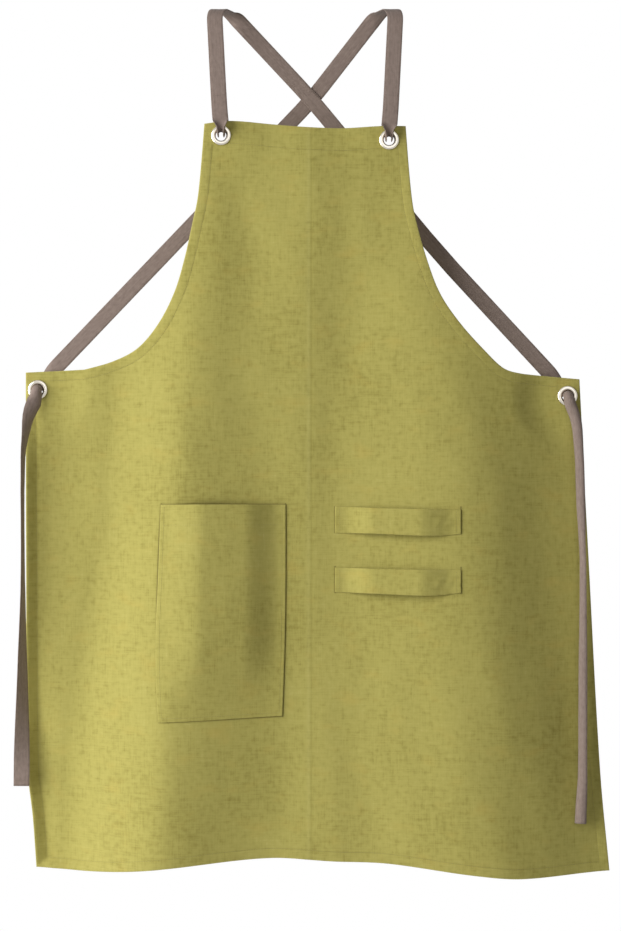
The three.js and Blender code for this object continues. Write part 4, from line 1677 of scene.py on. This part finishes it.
class Strap(Part):
    """One strap: looped through a bib eyelet, over the shoulder and on through the far wing's eyelet."""

    across = 13
    turn_per_station = 0.13
    cross_stitch = StitchSizes(pitch=2.4, length=1.9, radius=0.2)
    seam_samples = 24

    def __init__(self, form: ClothForm, materials: Materials, sizes: StrapSizes) -> None:
        """Keeps the strap's sizes as well.

        Args:
            form: the main cloth's form.
            materials: the finishes' materials.
            sizes: the strap's sizes.
        """
        super().__init__(form, materials)
        self.sizes = sizes
        eyelet = form.eyelet
        self.curl_radius = eyelet.hole / 2 - eyelet.clearance - sizes.thickness / 2
        self.full_curl = sizes.width / self.curl_radius
        self.bib = form.eyelets[f"bib_{sizes.side.word}"]
        self.wing = form.eyelets[f"wing_{sizes.side.other.word}"]

    def _leg_x(self, z: float) -> float:
        """Where the front leg is across, at a height."""
        top = self.sizes.side.value * self.sizes.shoulder_span / 2
        share = (z - self.bib.z) / (self.sizes.thickness / 2 - self.bib.z)
        return self.bib.x + (top - self.bib.x) * share

    def corners(self) -> list[Corner]:
        """The route's corners, from the sewn end to the tie's end.

        Returns:
            The corners in order.
        """
        own, eyelet, bib, wing = self.sizes, self.form.eyelet, self.bib, self.wing
        sign, half = own.side.value, own.thickness / 2
        seat = self.form.sizes.thickness / 2 + eyelet.clearance
        to_back = seat + eyelet.washer + eyelet.clearance + eyelet.wall + eyelet.clearance
        to_front = seat + eyelet.dome + eyelet.clearance
        loop, ply = own.eyelet_turn, (own.thickness + eyelet.clearance) / 2
        curl_depth = self.curl_radius * (1 - math.cos(self.full_curl / 2))
        tie_bend = curl_depth + half + own.tie_stand_off
        low, high = -own.rise + own.sewn_rise, -own.rise + own.sewn_rise + own.sewn_length
        bib_hole, wing_hole = bib.z + self.curl_radius, wing.z + self.curl_radius
        top_front = Vector((sign * own.shoulder_span / 2, own.shoulder_front, half))
        top_back = Vector((sign * own.back_span / 2, own.shoulder_front + own.shoulder_depth, half))
        depth = own.cross_depth + own.layer * (own.thickness + 2 * eyelet.clearance)
        cross = Vector((own.cross_offset, depth, -own.cross_drop))
        entry = Vector((wing.x, wing.y + to_back + loop, wing_hole))
        bowed = cross.lerp(entry, own.bow_place) + Vector((-sign * own.bow, 0, 0))
        curls = bowed.lerp(entry, 1 - (own.uncurl + loop) / (entry - bowed).length)
        start = wing.y - to_front - tie_bend
        back_y, front_y = bib.y + to_back + loop, bib.y - to_front - loop
        above = bib_hole + loop + own.turn_rise
        return [
            Corner(Vector((self._leg_x(high), bib.y + ply, high))),
            Corner(Vector((self._leg_x(low), bib.y + ply, low)), *BENDS["sewn_foot"]),
            Corner(Vector((bib.x, back_y, above)), *BENDS["above_back"]),
            Corner(Vector((bib.x, back_y, bib_hole)), bend=loop, step=1),
            Corner(Vector((bib.x, front_y, bib_hole)), bend=loop, step=1),
            Corner(Vector((bib.x, front_y, above)), *BENDS["above_front"]),
            Corner(Vector((self._leg_x(low), bib.y - ply, low)), *BENDS["leg_foot"]),
            Corner(Vector((self._leg_x(high), bib.y - ply, high)), *BENDS["leg_top"]),
            Corner(top_front, bend=own.shoulder_bend, step=4),
            Corner(top_back, bend=own.shoulder_bend, step=3),
            Corner(cross, *BENDS["cross"]),
            Corner(bowed, *BENDS["bowed"]),
            Corner(curls, *BENDS["curls_from"]),
            Corner(entry, bend=loop, step=1.6),
            Corner(Vector((wing.x, start, wing_hole)), bend=tie_bend, step=1),
            Corner(Vector((wing.x, start, wing.z - tie_bend)), *BENDS["tie_top"]),
            *(self._tie_corner(row) for row in own.tie.rows),
        ]

    def _tie_corner(self, row: tuple[float, ...]) -> Corner:
        """A row of the tie's table as a corner of the route."""
        down, out, ahead, _ = row
        x = self.wing.x - self.sizes.side.value * out
        z = self.wing.z - down * self.sizes.tie_length
        surface, normal = self.form.surface(np.array(x), np.array(z))
        front = surface[1] - self.form.sizes.thickness / 2 / -normal[1]
        return Corner(Vector((x, float(front) - ahead, z)), *BENDS["tie_row"])

    def stations(self) -> list[Station]:
        """Rounds the route's corners and walks along it.

        Returns:
            Stations, closer together in the bends.
        """
        made: list[Station] = []

        def add(point: Vector, direction: Vector) -> None:
            """Adds a station unless it repeats the last."""
            far = (made[-1].point - point).length if made else 0
            if made and far < 0.2:
                return
            made.append(Station(point.copy(), direction.copy(), made[-1].along + far if made else 0))

        def straight(start: Vector, end: Vector, step: float) -> None:
            """Adds stations along a straight stretch."""
            length = (end - start).length
            count = max(1, math.ceil(length / step))
            for i in range(count + 1):
                add(start.lerp(end, i / count), (end - start).normalized())

        corners = self.corners()
        start = corners[0].at
        for before, here, after in zip(corners, corners[1:], corners[2:]):
            inward = (here.at - before.at).normalized()
            outward = (after.at - here.at).normalized()
            angle = inward.angle(outward)
            if angle < 0.02:
                straight(start, here.at, here.step)
                start = here.at
                continue
            room = 0.49 * min((here.at - before.at).length, (after.at - here.at).length)
            trim = min(here.bend * math.tan(angle / 2), room)
            radius = trim / math.tan(angle / 2)
            bend_start = here.at - inward * trim
            straight(start, bend_start, here.step)
            axis = inward.cross(outward).normalized()
            centre = bend_start + axis.cross(inward) * radius
            count = max(1, math.ceil(angle / self.turn_per_station))
            for k in range(1, count + 1):
                turn = Quaternion(axis, angle * k / count)
                add(centre + turn @ (bend_start - centre), turn @ inward)
            start = here.at + outward * trim
        straight(start, corners[-1].at, corners[-1].step)
        return made

    def _axes(self, station: Station, turn: float) -> tuple[Vector, Vector]:
        """The strap's own directions across and through it."""
        along = station.direction
        across = (Vector((1, 0, 0)) - along * along.x).normalized()
        hollow = across.cross(along)
        twist = Quaternion(along, turn)
        return twist @ across, twist @ hollow

    def _curls(self, stations: list[Station]) -> tuple[Array, Array]:
        """How much each station is curled, and how far it is turned."""
        own = self.sizes

        def nearest(eyelet: Vector) -> float:
            """The length along the route at an eyelet."""
            centre = eyelet + Vector((0, 0, self.curl_radius))
            return min(stations, key=lambda s: (s.point - centre).length).along

        at_bib, at_wing = nearest(self.bib), nearest(self.wing)
        along = np.array([s.along for s in stations])
        past = along - at_wing
        opened = 1 - smooth((np.abs(past) - own.held_curl) / own.uncurl)
        unrolled = smooth((np.abs(along - at_bib) - own.held_curl) / own.bib_unroll)
        rolled = own.bib_roll * (1 - unrolled)
        kept = np.where(past > 0, own.curl_kept * (1 - own.curl_lost * smooth(past / own.tie_length)), 0)
        turns = Table(own.tie.columns, ((-1, 0, 0, 0), (0, 0, 0, 0), *own.tie.rows))
        turned = np.where(past > 0, turns.at("turn", past / own.tie_length), 0)
        return np.maximum(np.maximum(opened, kept) * self.full_curl, rolled), np.radians(turned)

    def _place(self, station: Station, curl: float, turn: float, offsets: Array, lift: Array) -> Array:
        """Points at distances across the strap's middle and off its face."""
        across, hollow = (np.array(v) for v in self._axes(station, turn))
        if curl < 1e-3:
            sideways, inwards = offsets, -lift
        else:
            radius = self.sizes.width / curl
            angle = offsets / radius
            sideways = (radius + lift) * np.sin(angle)
            inwards = radius - (radius + lift) * np.cos(angle)
        return np.array(station.point) + np.outer(sideways, across) + np.outer(inwards, hollow)

    def build(self) -> bpy.types.Object:
        """Makes the strap and its stitches.

        Returns:
            The strap.
        """
        own = self.sizes
        stations = self.stations()
        curls, turns = self._curls(stations)
        share = np.sin(np.linspace(-1, 1, self.across) * math.pi / 2)
        offsets = share * own.width / 2
        thin = np.sqrt(np.clip(1 - np.abs(share) ** 9, 0.12, 1))
        total = stations[-1].along
        rings, flats = [], []
        for station, curl, turn in zip(stations, curls, turns):
            doubled = 1.0 if station.along < total - own.end_hem else own.end_hem_plies
            wave = own.ripple * noise.noise((station.along / 21, own.layer * 9.0, 0.5))
            half = own.thickness / 2 * thin * doubled * own.pressed
            inner = self._place(station, curl, turn, offsets, wave - half)
            outer = self._place(station, curl, turn, offsets[::-1], wave + half[::-1])
            rings.append(np.concatenate([inner, outer]))
            both = np.concatenate([offsets, offsets[::-1]])
            flats.append(np.stack([both, np.full(len(both), station.along)], -1))
        count = 2 * self.across
        faces = tube_faces(len(rings), count, False)
        last = (len(rings) - 1) * count
        for i in range(self.across - 1):
            cap = [i, i + 1, count - 2 - i, count - 1 - i]
            faces += [cap[::-1], [last + k for k in cap]]
        skin = Skin(np.concatenate(rings), faces, np.concatenate(flats))
        name = f"strap_{own.side.word}"
        made = self.put(skin, name + "_tape", self.materials.tape, "tape")
        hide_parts(name)
        stitched = self._seams(stations, curls, turns)
        seams = self.put(stitched, name + "_stitches", self.materials.taupe_thread, "tape")
        total * MM
        log.info("%s is %.0f mm long", name, total)
        return made

    def _seams(self, stations: list[Station], curls: Array, turns: Array) -> Skin:
        """Rows of stitches across the sewn ply and the tie's end hem."""
        own = self.sizes
        total = stations[-1].along
        lift = own.thickness / 2 * own.pressed
        ends = [s.along for s in stations if s.point.z > -own.rise + own.sewn_rise and s.point.y < self.bib.y]
        sewn_front = min(ends) + own.sewn_length - 5
        rows = []
        in_hem = total - own.end_hem + 1
        for along, doubled in ((4.5, 1.0), (sewn_front, 1.0), (in_hem, own.end_hem_plies)):
            i = min(range(len(stations)), key=lambda k: abs(stations[k].along - along))
            offsets = np.linspace(-0.43, 0.43, self.seam_samples) * own.width
            here = (stations[i], curls[i], turns[i], offsets)
            for face in (1, -1):
                line = self._place(*here, np.full(self.seam_samples, face * lift * doubled))
                off = self._place(*here, np.full(self.seam_samples, face * (lift * doubled + 1)))
                rows.append(self.cross_stitch.row(line, off - line))
        return rows[0].joined(rows[1:])


class Studio:
    """Camera, lights, white surroundings and a pale floor."""

    reach = 2.6
    target = (0.0066, -0.034, -0.5514)
    film_height = 36
    picture_height = 931
    mm_per_pixel = 1.2
    ambient = 0.17
    mirrored_white = 0.7

    def build(self) -> None:
        """Sets up the whole studio."""
        self._camera()
        self._world()
        self._area("key", (-2.1, -1.3, -0.25), 2.3, 87)
        self._area("fill", (0.6, -3.4, 0.7), 2.4, 15)
        self._area("rim", (-1.0, 2.4, 0.8), 1.6, 22)
        self._floor()

    def _camera(self) -> None:
        """A level camera in front of the bib, as the picture was taken."""
        data = bpy.data.cameras.new("camera")
        data.lens = self.film_height * self.reach / (self.picture_height * self.mm_per_pixel * MM)
        data.clip_end = 50
        made = bpy.data.objects.new("camera", data)
        made.location = Vector(self.target) - Vector((0, self.reach, 0))
        made.rotation_euler = (math.pi / 2, 0, 0)
        bpy.context.collection.objects.link(made)
        bpy.context.scene.camera = made

    def _world(self) -> None:
        """White behind the apron, and a softer light from all round."""
        world = bpy.data.worlds.new("studio")
        bpy.context.scene.world = world
        g = Graph(world)
        path = g.node("ShaderNodeLightPath", {}, {}).outputs
        glossy = Value(g, path["Is Glossy Ray"]) * self.mirrored_white
        mirrored = Value(g, path["Is Camera Ray"]).math("MAXIMUM", glossy)
        warm = {"Color": (1, 0.985, 0.96, 1), "Strength": self.ambient}
        light = g.node("ShaderNodeBackground", {}, warm)
        white = g.node("ShaderNodeBackground", {}, {"Color": (1, 1, 1, 1), "Strength": 1.0})
        both = g.node("ShaderNodeMixShader", {}, {0: mirrored, 1: light.outputs[0], 2: white.outputs[0]})
        g.node("ShaderNodeOutputWorld", {}, {"Surface": both.outputs[0]})
        bpy.context.scene.view_settings.view_transform = "Standard"

    def _area(self, name: str, at: tuple[float, float, float], size: float, power: float) -> None:
        """A square soft light aimed at the apron."""
        data = bpy.data.lights.new(name, "AREA")
        data.size = size
        data.energy = power
        made = bpy.data.objects.new(name, data)
        made.location = at
        made.rotation_euler = (Vector(self.target) - Vector(at)).to_track_quat("-Z", "Y").to_euler()
        bpy.context.collection.objects.link(made)

    def _floor(self) -> None:
        """A round pale floor below, out of the picture."""
        angles = np.arange(64) * 2 * math.pi / 64
        ring = np.stack([600 * np.cos(angles), 600 * np.sin(angles), np.full(64, -1250.0)], -1)
        skin = Skin(ring, [list(range(64))], ring[:, :2])
        made = skin.build("floor", PaintFinish().material(), 0)


TIE_COLUMNS = ("down", "out", "ahead", "turn")
POCKET_EDGES = Table(
    ("down", "left", "right"),
    ((0, 0.004, 0), (0.35, -0.016, 0), (0.6, -0.032, -0.005), (0.8, -0.028, -0.014), (1, -0.01, -0.026)),
)
POCKET = PatchSizes(
    name="pocket",
    left=-172,
    width=149,
    top=-598,
    height=252,
    bulge=11,
    seam=7,
    edges=POCKET_EDGES,
    mouth=True,
    slant=6,
    ease=0.3,
)
LOOP_COLUMNS = ("across", "top", "foot")
UPPER_EDGES = Table(
    LOOP_COLUMNS, ((0, 0, 0), (0.35, 0.014, 0.006), (0.78, 0.022, 0.02), (1, 0.024, 0.006))
)
LOWER_EDGES = Table(
    LOOP_COLUMNS, ((0, 0.01, -0.006), (0.35, 0.019, 0.004), (0.78, 0.024, 0.014), (1, 0.024, -0.008))
)
LOOPS = tuple(
    PatchSizes(
        name=name, left=36, width=149, top=top, height=32, bulge=9.5, seam=8, edges=edges, mouth=False
    )
    for name, top, edges in (
        ("towel_loop_upper", -600, UPPER_EDGES),
        ("towel_loop_lower", -671.5, LOWER_EDGES),
    )
)
LEFT_STRAP_TIE = Table(
    TIE_COLUMNS,
    (
        (0.06, 7, 13, 30), (0.16, 10, 13, 56), (0.29, 12, 13, 60), (0.39, 14, 13, 82),
        (0.68, 13, 13, 62), (0.9, 12, 13, 58), (1, 10, 13, 38),
    ),
)
RIGHT_STRAP_TIE = Table(
    TIE_COLUMNS,
    (
        (0.06, 7, 20, -25), (0.16, 13, 24, -74), (0.26, 14, 24, -86), (0.5, 14.5, 22, -84),
        (0.7, 16, 20, -64), (0.85, 17, 18, -42), (1, 18, 16, -4),
    ),
)
STRAPS = (
    StrapSizes(
        side=Side.LEFT, layer=0, bow=-9, tie_length=508, tie=LEFT_STRAP_TIE, curl_kept=0.75, curl_lost=0.1
    ),
    StrapSizes(side=Side.RIGHT, layer=1, bow=0, tie_length=477, tie=RIGHT_STRAP_TIE),
)


def main() -> None:
    """Builds every sub-assembly in order; the cloth and the straps log their sizes as they are made."""
    logging.basicConfig(level=logging.INFO, format="%(name)s: %(message)s")
    form = ClothForm(ClothSizes(), EyeletSizes(), (POCKET, *LOOPS))
    materials = Materials()
    ClothPanel(form, materials).build()
    for patch in (POCKET, *LOOPS):
        Patch(form, materials, patch).build()
    for where in form.eyelets:
        Eyelet(form, materials).build(where)
    for strap in STRAPS:
        Strap(form, materials, strap).build()
    Studio().build()
    log.info("studio ready")


if __name__ == "__main__":
    main()
